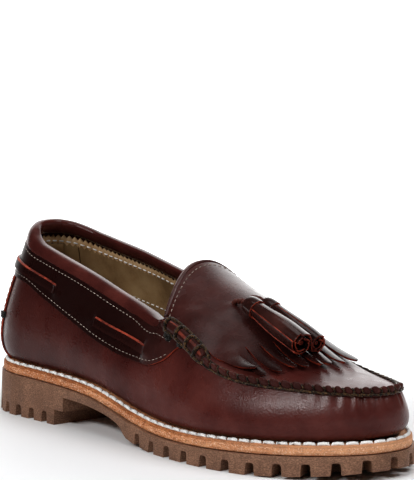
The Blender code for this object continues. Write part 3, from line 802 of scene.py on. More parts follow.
def gum_rubber(name, dark, mid, pale, scuffed):
    """Moulded gum rubber: grey-brown with specks, and scuffs along the sides."""
    made, tree, shader = new_material(name)
    where = place_in(tree)
    grains = noise(tree, place_in(tree, (0.55, 0.55, 1.2)), 0.6, detail=3.0, roughness=0.75)
    tone = total(tree, grains, noise(tree, where, 16.0, detail=4.0), 0.3)
    colour = ramp(tree, tone, (0.5, dark), (0.65, mid), (0.82, pale))
    marks = noise(tree, place_in(tree, (0.3, 0.3, 2.0)), 2.4, detail=3.0, roughness=0.7)
    colour = blend(tree, ramp(tree, marks, (0.6, 0.0), (0.75, 0.35)), colour, scuffed)
    fill(tree, shader, base_color=colour, roughness=0.62, specular_ior_level=0.35)
    relief = total(tree, noise(tree, where, 0.6), noise(tree, where, 5.0), 0.6)
    bump(tree, shader, relief, strength=0.35, depth=0.15)
    return made


# The wall's leather has painted shade: it darkens towards the heel.
BURGUNDY = leather(
    "burgundy", (0.052, 0.0115, 0.0095), (0.082, 0.0195, 0.016), (0.115, 0.031, 0.025), 0.30, 0.6,
    specular=0.22, painted_shade=(-130.0, 20.0, 0.55), polish=(20.0, 110.0, 0.42),
)
ROLL = leather("roll_burgundy", (0.042, 0.0105, 0.0088), (0.066, 0.0168, 0.014), (0.105, 0.029, 0.0235), 0.19)
SEAM = leather(
    "seam_burgundy", (0.030, 0.0085, 0.007), (0.050, 0.014, 0.0115), (0.085, 0.0255, 0.0205), 0.36,
    specular=0.1,
)
# A darker copy of the burgundy leather for the band and its laces, as painted shade: darkest towards the
# band's back, clearing at its front tab.
SHADED_BURGUNDY = leather(
    "shaded_burgundy", (0.028, 0.0085, 0.0072), (0.044, 0.0133, 0.0113), (0.070, 0.0225, 0.019), 0.30,
    specular=0.14, painted_shade=(-25.0, 28.0, 0.93), polish=(0.0, 30.0, 0.36),
)
# The kiltie has painted shadow: its fringe darkens towards the fingertips, where the tassels shade it.
KILTIE = leather(
    "kiltie_brown", (0.036, 0.0105, 0.009), (0.058, 0.017, 0.0145), (0.086, 0.027, 0.0225), 0.25,
    specular=0.45, painted_shade=(80.0, 56.0, 0.92), polish=(58.0, 80.0, 0.28),
)
TASSEL = leather(
    "tassel_brown", (0.020, 0.0076, 0.0064), (0.040, 0.015, 0.0125), (0.072, 0.027, 0.0225), 0.12,
    specular=0.5,
)
RAW = raw_edge("raw_edge", (0.12, 0.018, 0.010), (0.40, 0.064, 0.030))
RAW_DARK = raw_edge("dark_raw_edge", (0.045, 0.010, 0.007), (0.19, 0.034, 0.018))
WAXED = thread("waxed_thread", (0.007, 0.0036, 0.0018), (0.15, 0.080, 0.033), 1.6, 0.34, (0.68, 1.0))
BLACK = thread("black_thread", (0.004, 0.0035, 0.003), (0.016, 0.012, 0.009), 0.8, 0.3)
WHITE = thread("white_thread", (0.78, 0.77, 0.75), (0.97, 0.965, 0.95), 0.7, 0.75)
BEIGE = thread("beige_thread", (0.13, 0.095, 0.08), (0.52, 0.44, 0.38), 1.4, 0.65, (0.55, 0.95))
TAN = natural_leather(
    "natural_leather", (0.36, 0.122, 0.044), (0.58, 0.235, 0.100), (0.72, 0.36, 0.18),
    fleck=(0.24, 0.068, 0.020), speck=(0.92, 0.68, 0.50),
)
TAN_EDGE = natural_leather(
    "burnished_edge", (0.22, 0.066, 0.020), (0.36, 0.118, 0.040), (0.50, 0.19, 0.07),
    fleck=(0.16, 0.044, 0.012), speck=(0.62, 0.33, 0.17),
)
LINING = lining_leather("lining", (0.20, 0.123, 0.058), (0.30, 0.192, 0.095), (0.38, 0.26, 0.137))
PINKED = lining_leather("pinked_edge", (0.44, 0.28, 0.145), (0.57, 0.38, 0.21), (0.67, 0.475, 0.285))
GRIP = lining_leather("heel_grip", (0.22, 0.13, 0.056), (0.32, 0.2, 0.094), (0.42, 0.275, 0.135))
SEAM_SHADE = lining_leather("lining_seam", (0.05, 0.03, 0.014), (0.08, 0.05, 0.022), (0.11, 0.07, 0.03))
RUBBER = gum_rubber(
    "gum_rubber", (0.12, 0.062, 0.038), (0.2, 0.104, 0.064), (0.36, 0.2, 0.125), scuffed=(0.36, 0.22, 0.145)
)
TIE = leather("tie_leather", (0.030, 0.008, 0.006), (0.075, 0.018, 0.012), (0.16, 0.035, 0.02), 0.45)


# Thread

# Rows of stitches: length of a stitch, space between two, radius of the thread, and how far its
# middle stands proud as a share of that radius
STITCHES = {
    "lining": (2.6, 1.5, 0.42, 0.45),
    "lining_low": (2.4, 1.6, 0.36, 0.45),
    "band": (1.9, 1.3, 0.21, 0.45),
    "counter": (2.0, 1.2, 0.22, 0.45),
    "tongue": (1.9, 1.4, 0.25, 0.45),
    "welt": (6.2, 1.0, 1.0, 0.6),
}
STITCH_PLACES = np.array([0.0, 0.12, 0.5, 0.88, 1.0])
STITCH_SHOULDER = 0.7


def stitch_row(shape, line, kind):
    """Stitches along a line, each dipping into the leather at its two ends."""
    stitch, space, radius, proud = STITCHES[kind]
    count = max(1, int(line.length // (stitch + space)))
    first = (np.arange(count) + 0.5) * line.length / count - stitch / 2
    points, up = line.at(first[:, None] + stitch * STITCH_PLACES)
    shoulder = proud * STITCH_SHOULDER
    height = radius * np.array([-1.0, shoulder, proud, shoulder, -1.0])
    return shape.bars(points + up * height[:, None], radius, taper=0.6)


# Upper

# Main gathers of the wall below the toe's seam: side, distance from the toe's tip along the seam,
# depth, half-width and how far down the wall they reach
GATHERS = table(
    "side from_tip depth half reach",
    [
        (-1, 2.5, 0.5, 1.4, 9.0),
        (-1, 7.5, 0.7, 1.6, 12.0),
        (-1, 11.3, 0.35, 1.0, 8.0),
        (-1, 14.8, 1.1, 1.6, 14.0),
        (-1, 20.5, 0.5, 1.7, 10.0),
        (-1, 27.5, 0.4, 1.9, 11.0),
        (-1, 35.5, 0.35, 1.5, 8.0),
        (-1, 43.0, 0.3, 1.5, 7.0),
        (1, 4.0, 0.6, 0.9, 7.0),
        (1, 9.0, 0.9, 1.0, 9.0),
        (1, 15.0, 0.6, 0.9, 7.0),
        (1, 21.0, 0.8, 1.0, 8.0),
        (1, 28.0, 0.5, 1.0, 6.5),
        (1, 36.0, 0.4, 1.0, 5.5),
    ],
)
# The fold beside each gather: its height as a share of the depth, and its place in half-widths
FOLD_HEIGHT, FOLD_SHIFT = 0.5, 2.2
# Length of the seam round the toe as a share of the sole's edge
SEAM_TO_EDGE = 0.9
WALL_ROWS, WALL_COLUMNS = 250, 44
APRON_ROWS, APRON_COLUMNS = 150, 81
LEATHER_THICK = 1.2
CORE_SHARE = 0.4
HIDDEN_RIM = {"rim": 0, "edge": 0}


def gathers(side, from_tip, below):
    """Depth of the gathers, each with a fold beside it, by distance from the toe's tip and below the seam."""
    depth = np.zeros(np.broadcast(from_tip, below).shape)
    for row_side, place, deep, half, reach in zip(*GATHERS.values()):
        if row_side == side:
            off = (from_tip - place) / half
            depth += deep * ease(1 - below / reach) * (FOLD_HEIGHT * hump(off - FOLD_SHIFT) - hump(off))
    return depth


def creased_wall(side, share, height):
    """The wall's outer face with its gathers."""
    points, normal = on_wall(side, share, height)
    below = (1 - height) * (points[:, -1, 2] - points[:, 0, 2])[:, None]
    from_tip = ((1 - share) * EDGES[side][3])[:, None] * SEAM_TO_EDGE
    return points + normal * gathers(side, from_tip, below)[..., None], normal


def build_wall():
    """The wall of the upper, with an upright edge inside the roll."""
    height = np.linspace(0, 1, WALL_COLUMNS)
    share = np.concatenate([[NUDGE], np.linspace(0, 1, WALL_ROWS)[1:-1], [1 - NUDGE]])
    lateral, medial = (creased_wall(side, share, height) for side in SIDES)
    for end in (0, -1):
        middle = (lateral[0][end] + medial[0][end]) / 2
        lateral[0][end] = medial[0][end] = middle
    shape = Shape()
    for side, (points, normal) in ((LATERAL, lateral), (MEDIAL, medial)):
        lean = unit(points[:, -1] - points[:, -2])
        core = points[:, -1] + lean * (CORE_SHARE * roll_height(side, points[:, -1, 0]))[:, None]
        points = np.concatenate([points, core[:, None]], 1)
        shape.grid(points, outward=np.concatenate([normal, normal[:, -1:]], 1))
    upper_sheet("upper_wall", shape)


def build_apron():
    along = np.linspace(0, 1, APRON_ROWS)[:-1, None]
    points, normal = on_plug(along, even_across(np.linspace(-1, 1, APRON_COLUMNS))[None, :])
    upper_sheet("apron", Shape().grid(points, outward=normal))


def upper_sheet(name, shape):
    """A sheet of the upper, whose rim is hidden."""
    sheet(name, shape, LEATHER_THICK, [BURGUNDY, RAW], "burgundy_leather", "upper", inward=True, **HIDDEN_RIM)


# Lining

LINING_DEPTH = 1.35
LINING_THICK = 0.6
LINING_FACE = LINING_DEPTH + LINING_THICK
LINING_RISE = 0.2
LINING_FOOT, LINING_FRONT = 0.02, 0.97
LINING_ROWS = 420
TOOTH_PITCH = 3.5
TOOTH_DEPTH = 2.0
PINKED_START = 0.945
LINING_STITCH_DROP = 3.6
LINING_ROW_Z = 66.0, 54.0
LINING_ROW_SPAN = -112.0, -38.0
HEEL_GRIP_SHARE = 0.06
HEEL_GRIP_THICK = 0.5
HEEL_GRIP_LOW = 0.25
HEEL_GRIP_DROP = 3.4
LINING_SEAM_SHARE = 0.102
LINING_SEAM_SPAN = 0.3, 0.94
LINING_SEAM_RADIUS = 0.3
LINING_SEAM_PROUD = 0.05
TONGUE_LINING_SPAN = 0.004, 0.62
TONGUE_LINING_SPREAD = 0.98


def lining_top(side, share):
    """Height of the lining's pinked edge at shares of one side."""
    top = wall_top(side, share)
    tooth = np.abs((run_along(top) / TOOTH_PITCH) % 1.0 - 0.5) * 2 * TOOTH_DEPTH
    return top[:, 2] + LINING_RISE - tooth


def build_lining_seams(side, seams, grip):
    """The patch inside the heel, and the seam in front of it."""
    share = back_shares(HEEL_GRIP_SHARE, 16)
    top = height_share(side, share, np.full(len(share), lining_top(side, share).min() - HEEL_GRIP_DROP))
    points, normal = on_wall(side, share, top[:, None] * np.linspace(HEEL_GRIP_LOW, 1, 20))
    grip.grid(points - normal * LINING_FACE, outward=-normal)
    points, normal = on_wall(side, np.full(1, LINING_SEAM_SHARE), np.linspace(*LINING_SEAM_SPAN, 24))
    seams.bars([points[0] - normal[0] * (LINING_FACE + LINING_SEAM_PROUD)], LINING_SEAM_RADIUS)


def build_lining():
    shape, stitches, seams, grip = Shape(), Shape(), Shape(), Shape()
    for side in SIDES:
        throat = share_at_x(side, THROAT_X)
        share = back_shares(throat, LINING_ROWS)
        high = height_share(side, share, lining_top(side, share))
        steps = np.append(np.linspace(LINING_FOOT, PINKED_START, 20), [LINING_FRONT, 1.0])
        points, normal = on_wall(side, share, high[:, None] * steps)
        pinked = (steps >= PINKED_START).astype(int)
        shape.grid(points - normal * LINING_DEPTH, outward=-normal, kind=pinked)
        front = np.linspace(throat, LINING_FRONT, 40)
        points, normal = on_wall(side, front, np.linspace(LINING_FOOT, LINING_FRONT, 16))
        shape.grid(points - normal * LINING_DEPTH, outward=-normal)
        high_row = back_shares(throat, 160)
        low_row = np.linspace(*share_at_x(side, LINING_ROW_SPAN), 60)
        rows = {
            "lining": (high_row, wall_top(side, high_row)[:, 2] - LINING_STITCH_DROP),
            "lining_low": (low_row, np.linspace(*LINING_ROW_Z, 60)),
        }
        for kind, (row, z) in rows.items():
            points, normal = wall_line(side, row, z, -LINING_FACE)
            stitch_row(stitches, Path(points, -normal), kind)
        build_lining_seams(side, seams, grip)
    sheet("lining", shape, LINING_THICK, [LINING, PINKED], "lining_leather", **HIDDEN_RIM)
    solid("lining_stitches", stitches, [WHITE], "white_thread")
    solid("lining_seams", seams, [SEAM_SHADE], "lining_leather")
    sheet("heel_grip", grip, HEEL_GRIP_THICK, [GRIP, SEAM_SHADE], "lining_leather", edge=0)
    along = np.linspace(*TONGUE_LINING_SPAN, 60)[:, None]
    across = even_across(np.linspace(-TONGUE_LINING_SPREAD, TONGUE_LINING_SPREAD, 41))
    points, normal = on_plug(along, across[None, :])
    under = Shape().grid(points - normal * LINING_DEPTH, outward=-normal)
    sheet("tongue_lining", under, LINING_THICK, [LINING, LINING], "lining_leather", **HIDDEN_RIM)


# Collar

# The roll stops this share short of the throat, nearer to the ladder than the solid roll does
ROLL_END_SHARE = 0.004
ROLL_TURNS = 32
ROLL_STEPS = 150
ROLL_FLAP = 1.5
ROLL_FLAP_SQUARENESS = 0.3
ROLL_INNER_SQUARENESS = 0.6
ROLL_FLAP_FADE = 0.9
THROAT_DROP = 4.5
THROAT_DROP_SPAN = -16.0, 8.0
ROLL_SWELL = 1.6
ROLL_END_NARROW = 0.35
ROLL_NARROW_HEIGHT = 4.0

# Wrinkles inside the roll: place along its side, side, depth and half-width as a share of the side
ROLL_WRINKLES = table(
    "place side depth half",
    [
        (0.045, 1, 0.4, 0.006),
        (0.075, 1, 0.4, 0.007),
        (0.105, 1, 0.3, 0.006),
        (0.06, -1, 0.2, 0.007),
    ],
)


def throat_drop(x):
    """How much lower the roll's outer edge hangs towards the throat."""
    start, end = THROAT_DROP_SPAN
    return THROAT_DROP * ease((x - start) / (end - start))


def build_collar_roll():
    """The padded roll round the opening, wrinkled on its inner side behind the heel."""
    turns = full_turn(ROLL_TURNS)
    flap = (np.cos(turns) > 0) & (np.sin(turns) < 0)
    inside = np.cos(turns) < 0
    square = np.where(flap, ROLL_FLAP_SQUARENESS, np.where(inside, ROLL_INNER_SQUARENESS, ROLL_SQUARENESS))
    aside = np.sign(np.cos(turns)) * np.abs(np.cos(turns)) ** square * ROLL_THICK / 2
    aside *= np.where(inside, ROLL_SWELL, 1.0)
    lower = np.where(flap, np.sin(turns), 0.0)
    inner = ease(-np.cos(turns))
    rings = []
    for side in SIDES:
        share = np.linspace(0, share_at_x(side, THROAT_X) - ROLL_END_SHARE, ROLL_STEPS)
        pair = wall(side, share, np.array([BESIDE_SEAM, 1.0]))
        top, lean = pair[:, 1], unit(pair[:, 1] - pair[:, 0])
        edge, outward = edge_at(side, share)
        out = np.concatenate([outward, np.zeros((len(share), 1))], 1)
        high = roll_height(side, edge[:, 0])
        squeeze = np.ones((len(share), ROLL_TURNS))
        for place, row_side, depth, half in zip(*ROLL_WRINKLES.values()):
            if row_side == side:
                squeeze -= depth / ROLL_THICK * hump((share - place) / half)[:, None] * inner
        middle = top - out * WALL_THICK / 2 + lean * (high / 2 + GAP)[:, None]
        narrow = ROLL_END_NARROW + (1 - ROLL_END_NARROW) * ease(high / ROLL_NARROW_HEIGHT)
        squeeze = squeeze * np.where(inside, narrow[:, None], 1.0)
        across = (aside * squeeze)[..., None] * out[:, None, :]
        drop = lower * ((ROLL_FLAP + throat_drop(top[:, 0])) * ease(high / ROLL_FLAP_FADE))[:, None]
        upward = (np.sin(turns) * high[:, None] / 2 + drop)[..., None] * lean[:, None, :]
        rings.append(middle[:, None, :] + across + upward)
    loop = np.concatenate([rings[0][:0:-1], rings[1]])
    shape = Shape().grid(loop, around=True, caps=True)
    roll = solid("collar_roll_leather", shape, [ROLL], "burgundy_leather", "collar_roll")


# Band, laces and backstay

BAND_ROWS, BAND_COLUMNS = 460, 44
BULGE_HALF = 4.2
BULGE_RUN = 11.0
SLOT_RISE = 5.0
BAND_STITCH_INSET = 2.2
BAND_STITCH_STOP = 18
ROLL_STITCH_DROP = 2.2
LEAST_STEP = 0.05

# Stretches of lace under the band, and how far it is pushed out at each one's start, middle and end
BULGES = table(
    "start end first middle last",
    [
        (LACE_REAR_X, LACE_FRONT_SPAN[0], 0.9, 0.25, 0.7),
        (LACE_FRONT_SPAN[1], BAND_FRONT_X - 6.0, 1.8, 0.3, 0.0),
    ],
)


def band_bulge(x, z):
    """How far the band is pushed out by the lace that runs under it."""
    off = (z - smooth(LACE_LINE, "z", x)) / BULGE_HALF
    pushed = np.zeros(np.shape(x))
    for start, end, first, middle, last in zip(*BULGES.values()):
        near_first, near_last = 1 - ease((x - start) / BULGE_RUN), 1 - ease((end - x) / BULGE_RUN)
        level = middle + (first - middle) * near_first + (last - middle) * near_last
        inside = ease((x - start + SLOT_RISE / 2) / SLOT_RISE) * ease((end + SLOT_RISE / 2 - x) / SLOT_RISE)
        pushed += level * inside
    return pushed * hump(off)


def band_rows(side):
    """Points and directions on the wall under the band, for rows along the shoe."""
    share = back_shares(share_at_x(side, BAND_FRONT_X), BAND_ROWS)
    edge, _ = edge_at(side, share)
    low = height_share(side, share, smooth(BAND_LOW, "z", edge[:, 0]))
    low = np.minimum(low, BAND_TOP - BAND_TAB_END)
    return on_wall(side, share, low[:, None] + (BAND_TOP - low)[:, None] * np.linspace(0, 1, BAND_COLUMNS))


def build_band():
    """The band below the collar in a darker copy of the burgundy leather as painted shade, with a row of
    stitches along each of its edges.
    """
    shape, stitches = Shape(), Shape()
    rows = np.arange(BAND_ROWS)
    for side in SIDES:
        points, normal = band_rows(side)
        lift = GAP + band_bulge(points[..., 0], points[..., 2])
        shape.grid(points + normal * lift[..., None], outward=normal)
        surface = points + normal * (lift + OVERLAY_THICK)[..., None]
        step = np.maximum(np.linalg.norm(points[:, 1] - points[:, 0], axis=1), LEAST_STEP)
        from_top = (ROLL_STITCH_DROP + throat_drop(points[:, -1, 0])) / step
        for place in (BAND_STITCH_INSET / step, BAND_COLUMNS - 1 - from_top):
            i = np.clip(place.astype(int), 0, BAND_COLUMNS - 2)
            share = (place - i)[:, None]
            line = surface[rows, i] * (1 - share) + surface[rows, i + 1] * share
            path = Path(line[:-BAND_STITCH_STOP], normal[rows, i][:-BAND_STITCH_STOP])
            stitch_row(stitches, path, "band")
    # The band's leather is the darker copy of the burgundy: painted shade.
    sheet("laced_band", shape, OVERLAY_THICK, [SHADED_BURGUNDY, RAW], "dark_leather", "lace_band")
    solid("band_stitches", stitches, [BEIGE], "white_thread")


LACE_DIVE = 2.4
LACE_TUCK = 1.5
LACE_LOW = -0.8
LACE_REST = 1.5 * GAP

# Section of the lace: place across it from its lower edge, height off the band, and if the face
# from there to the next place is raw
LACE_SECTION = table(
    "across rise raw",
    [
        (-2.6, 0.0, 0), (-2.6, 1.35, 0), (-0.9, 1.4, 0), (0.3, 1.4, 0), (1.3, 1.4, 0), (1.6, 1.35, 1),
        (2.5, 0.45, 0), (2.6, 0.0, 0), (0.0, 0.0, 0),
    ],
)


def lace_rings(side, x_from, x_to, count, dive_back=True):
    """A stretch of lace on one side, which dives into its slot at the front, and at the back if asked."""
    share = np.maximum(share_at_x(side, np.linspace(x_from, x_to, count)), NUDGE)
    x = edge_at(side, share)[0][:, 0]
    middle = smooth(LACE_LINE, "z", x)
    height = np.stack([height_share(side, share, middle + across) for across in LACE_SECTION["across"]], 1)
    points, normal = on_wall(side, share, height)
    top = OVERLAY_THICK + LACE_REST
    inside = np.minimum(x - x_from, x_to - x) if dive_back else x_to - x
    lift = LACE_LOW + (top - LACE_LOW) * ease(inside / LACE_DIVE)
    return points + normal * (lift[:, None] + LACE_SECTION["rise"])[..., None]


def build_laces():
    """The stretches of flat thong that show, with slanted raw edges."""
    rear = -LENGTH / 2, LACE_REAR_X + LACE_TUCK, 160
    halves = [lace_rings(side, *rear, dive_back=False) for side in SIDES]
    stretches = {"lace_rear": np.concatenate([halves[0][::-1], halves[1]])}
    start, end = LACE_FRONT_SPAN
    for side, word in SIDE_WORDS.items():
        stretches[f"lace_{word}"] = lace_rings(side, start - LACE_TUCK, end + LACE_TUCK, 90)
    for node, rings in stretches.items():
        shape = Shape().grid(rings, around=True, caps=True, kind=LACE_SECTION["raw"].astype(int))
        # The laces share the band's darker copy of the burgundy: painted shade.
        solid(f"{node}_thong", shape, [SHADED_BURGUNDY, RAW], "lace_leather", node, sharp=40)


# The counter's sheet is thinner than the solid one
BACKSTAY_THICK = 1.1
BACKSTAY_LOW = 0.03
BACKSTAY_STITCH_ROW = -4
BACKSTAY_BAR_Z = 53.5
BACKSTAY_BAR_HALF = 3.4
BACKSTAY_BAR_STEPS = 7
BACKSTAY_BAR_RADIUS = 0.8
BACKSTAY_BAR_DROPS = -1.2, 0.0, 1.2
# Height of a bar of thread at numbered steps along it
BACKSTAY_BAR_RISE = (0, 1, 3, 6), (0.6, BACKSTAY_THICK + 0.9, BACKSTAY_THICK + 0.7, -0.4)


def build_backstay():
    """The counter round the back of the heel, with its stitches and bars of thread over each edge."""
    shape, stitches, bars = Shape(), Shape(), Shape()
    length = EDGES[LATERAL][3]
    share = back_shares(BACKSTAY_HALF / length, 30)
    near = (BACKSTAY_HALF + np.linspace(-BACKSTAY_BAR_HALF, BACKSTAY_BAR_HALF, BACKSTAY_BAR_STEPS)) / length
    rise = np.interp(np.arange(BACKSTAY_BAR_STEPS), *BACKSTAY_BAR_RISE)
    for side in SIDES:
        high = height_share(side, share, np.full(len(share), BAND_LOW["z"][0] - BACKSTAY_CLEARANCE))
        height = BACKSTAY_LOW + (high - BACKSTAY_LOW)[:, None] * np.linspace(0, 1, 44)
        points, normal = on_wall(side, share, height)
        shape.grid(points + normal * GAP, outward=normal)
        face = points + normal * (GAP + BACKSTAY_THICK)
        stitch_row(stitches, Path(face[BACKSTAY_STITCH_ROW], normal[BACKSTAY_STITCH_ROW]), "counter")
        middle, _ = wall_line(side, near, np.full(len(near), BACKSTAY_BAR_Z), rise[:, None])
        bars.bars([middle + (0, 0, drop) for drop in BACKSTAY_BAR_DROPS], BACKSTAY_BAR_RADIUS, sides=10)
    sheet("heel_counter", shape, BACKSTAY_THICK, [BURGUNDY, RAW], "burgundy_leather", "backstay")
    solid("counter_stitches", stitches, [BEIGE], "white_thread")
    solid("counter_bars", bars, [BLACK], "waxed_thread")


# Hand-sewn seam

RUNGS = 6.5, 18.0, 29.0, 39.0, 46.5
LADDER_END = 44.0
LADDER_FADE = 9.0
LADDER_HALF, LADDER_HIGH = 3.5, 3.2
SEAM_PITCH = 6.8
SEAM_STEPS = 500
TOE_PITCH = 4.6
TOE_PITCH_START = 85.0
TOE_PITCH_RUN = 55.0
RIDGE_HALF, RIDGE_HIGH = 1.7, 4.3
RIDGE_SUNK = 0.8
RIDGE_SQUARENESS = 0.75
RIDGE_STOP = 3.0
RIDGE_STEPS = 760
RIDGE_ARC = -0.12, 1.12
RIDGE_UNEVEN = 0.12
NOTCH_HALF = 1.05
NOTCH_NARROW, NOTCH_DEEP = 0.45, 0.6
MEDIAL_DROP = 0.68
MEDIAL_DROP_START, MEDIAL_DROP_RUN = 4.0, 24.0
RAW_LINE = 0.6
RAW_HALF = 0.04
RAW_STRAY = -0.14, 0.06
RAW_CLEAR, RAW_LEAST = 1.6, 0.3
LOOP_SLANT = 0.9
LOOP_STRAY = 0.35
LOOP_ARC = -0.22, 1.22
LADDER_THREAD, TOE_THREAD = 0.95, 0.42
LADDER_TIGHT, TOE_TIGHT = 0.86, 0.6
LOOP_OUT, LOOP_UP = 0.7, 0.5
OUTER_THREAD, INNER_THREAD = 0.62, 0.5
RUN_BEFORE, RUN_AFTER = 1.2, 0.5
RUN_OUT, RUN_CLEAR = 0.95, 0.45

# Height of a run of thread beside the seam, in its own radii, at numbered steps along it
RUN_STEPS = 9
RUN_HEIGHTS = (0, 1, 4, 7, 8), (0.2, 1.3, 1.0, 0.2, -0.9)


def seam_side(side, along):
    """Points on one side's seam and the direction off it, between the wall's normal and the apron's."""
    inside = np.clip(along, 1 - BESIDE_SEAM, BESIDE_SEAM)
    start = share_at_x(side, THROAT_X)
    _, from_wall = on_wall(side, start + inside * (1 - start), np.full((len(along), 1), BESIDE_SEAM))
    _, from_plug = on_plug(inside, side * BESIDE_SEAM)
    return seam(side, along), unit(from_wall[:, 0] + from_plug)


def seam_path():
    """The whole seam, from the lateral throat round the toe to the medial throat."""
    along = np.linspace(0, 1, SEAM_STEPS)
    outer, inner = seam_side(LATERAL, along), seam_side(MEDIAL, along[-2::-1])
    points, up = (np.concatenate(pair) for pair in zip(outer, inner))
    tangent = unit(np.gradient(points, axis=0))
    return Path(points, up, unit(np.cross(up, tangent)))


def seam_places(length):
    """Distances of the thread's loops along the seam, the same from both its ends."""
    places = list(RUNGS)
    while places[-1] < length / 2 - TOE_PITCH / 2:
        closing = ease((places[-1] - TOE_PITCH_START) / TOE_PITCH_RUN)
        places.append(places[-1] + SEAM_PITCH + (TOE_PITCH - SEAM_PITCH) * closing)
    half = np.array(places) * (length / 2) / places[-1]
    return np.concatenate([half, (length - half[:-1])[::-1]])


def ridge_size(run, length):
    """Half-width and height of the pinched leather at distances along the seam."""
    from_end = np.minimum(run, length - run)
    change = ease((from_end - LADDER_END + LADDER_FADE / 2) / LADDER_FADE)
    high = LADDER_HIGH + (RIDGE_HIGH - LADDER_HIGH) * change
    past_tip = ease((run - length / 2 - MEDIAL_DROP_START) / MEDIAL_DROP_RUN)
    return LADDER_HALF + (RIDGE_HALF - LADDER_HALF) * change, high * (1 - MEDIAL_DROP * past_tip)


def build_seam():
    """The pinched ridge of the seam, notched where the thread pulls it in, with raw lines on the ladder."""
    line = seam_path()
    places = seam_places(line.length)
    places = places + RANDOM.uniform(-LOOP_STRAY, LOOP_STRAY, len(places))
    run = np.linspace(RIDGE_STOP, line.length - RIDGE_STOP, RIDGE_STEPS)
    points, up, inward = line.at(run)
    half, high = ridge_size(run, line.length)
    turn = np.linspace(*RIDGE_ARC, 19) * math.pi
    slanted = run[:, None, None] - places - LOOP_SLANT * np.cos(turn)[:, None]
    notch = hump(slanted / NOTCH_HALF).sum(2)
    uneven = 1 + RIDGE_UNEVEN * np.interp(run, places, RANDOM.uniform(-1, 1, len(places)))
    out = -np.cos(turn) * half[:, None] * (1 - NOTCH_NARROW * notch)
    arch = np.abs(np.sin(turn)) ** RIDGE_SQUARENESS * np.sign(np.sin(turn))
    rise = -RIDGE_SUNK + arch * ((high * uneven)[:, None] * (1 - NOTCH_DEEP * notch) + RIDGE_SUNK)
    grid = points[:, None] + inward[:, None] * out[..., None] + up[:, None] * rise[..., None]
    from_end = np.minimum(run, line.length - run)
    raw_line = RAW_LINE + RANDOM.uniform(*RAW_STRAY, len(places) + 1)[np.searchsorted(places, run)]
    clear = hump((run[:, None] - places) / RAW_CLEAR).sum(1) < RAW_LEAST
    on_line = np.abs(turn / math.pi - raw_line[:, None]) < RAW_HALF
    raw = (clear & (from_end < LADDER_END))[:, None] & on_line
    shape = Shape().grid(grid, around=True, caps=True, kind=raw.astype(int))
    solid("seam_ridge", shape, [SEAM, RAW_DARK], "burgundy_leather", "apron_seam")
    build_seam_thread(line, places)


def build_seam_thread(line, places):
    """The thick waxed thread: loops over the ridge, and a run along each side of it."""
    threads = Shape()
    half, high = ridge_size(places, line.length)
    points, up, inward = line.at(places)
    on_ladder = np.minimum(places, line.length - places) < LADDER_END
    turn = np.linspace(*LOOP_ARC, 15) * math.pi
    for k, ladder in enumerate(on_ladder):
        thick, tight = (LADDER_THREAD, LADDER_TIGHT) if ladder else (TOE_THREAD, TOE_TIGHT)
        out = -np.cos(turn) * (half[k] * tight + thick * LOOP_OUT)
        rise = np.sin(turn) * (high[k] * tight + thick * LOOP_UP)
        slant = LOOP_SLANT * np.cos(turn)[:, None] * np.cross(inward[k], up[k])
        loop = points[k] + out[:, None] * inward[k] + rise[:, None] * up[k] + slant
        threads.bars([loop], thick, sides=8, taper=0.8)
    for way, toe_radius in ((-1, OUTER_THREAD), (1, INNER_THREAD)):
        for start, end in zip(places, places[1:]):
            radius = LADDER_THREAD if min(start, line.length - end) < LADDER_END else toe_radius
            spot = np.linspace(start - RUN_BEFORE, end + RUN_AFTER, RUN_STEPS)
            base, above, inside = line.at(spot)
            width, _ = ridge_size(spot, line.length)
            rise = (np.interp(np.arange(RUN_STEPS), *RUN_HEIGHTS) * radius)[:, None]
            out = (way * (width * RUN_OUT + radius * RUN_CLEAR))[:, None]
            threads.bars([base + inside * out + above * rise], radius, sides=8, taper=0.6)
    solid("seam_thread", threads, [WAXED], "waxed_thread")
    solid("seam_knots", build_knots(line), [BLACK], "waxed_thread")


# Knots beside the ladder: distance from the seam's end, distance out from the seam, and size
KNOTS = table("run out size", [(10.0, 5.0, 1.5), (13.5, 5.4, 1.7), (24.0, 4.4, 1.3)])
KNOT_LOOPS = 7
KNOT_SUNK = 0.3
KNOT_WOBBLE = 0.25
KNOT_THREAD = 0.6


def build_knots(line):
    """Small tangles of thread where the lace ends are tied down."""
    tangles = Shape()
    turn = np.linspace(0, 1.7 * math.pi, 14)[:, None]
    wobble = 1 + KNOT_WOBBLE * np.sin(2 * turn)
    for run, out, size in zip(*KNOTS.values()):
        for place in (run, line.length - run):
            point, up, inward = (column[0] for column in line.at(np.array([place])))
            centre = point - inward * out - up * KNOT_SUNK
            for _ in range(KNOT_LOOPS):
                one, two = unit(RANDOM.normal(size=(2, 3)))
                loop = centre + size * wobble * (np.cos(turn) * one + np.sin(turn) * two)
                tangles.bars([loop], KNOT_THREAD, sides=8)
    return tangles


# Kiltie

FINGER_COLUMNS = 8
FINGER_ROWS = 24
KILTIE_ROWS = 70
FINGER_ROUND = 0.28
KILTIE_SHEET = 1.1
FINGER_CROWN = 0.5
FINGER_CROWN_RISE = 3.0
FINGER_TAPER_POWER = 1.5
SLIT_HALF = 0.016
SLIT_OPENING = 6.0
SLIT_AT_ROOT, SLIT_GROWTH = 0.7, 0.6

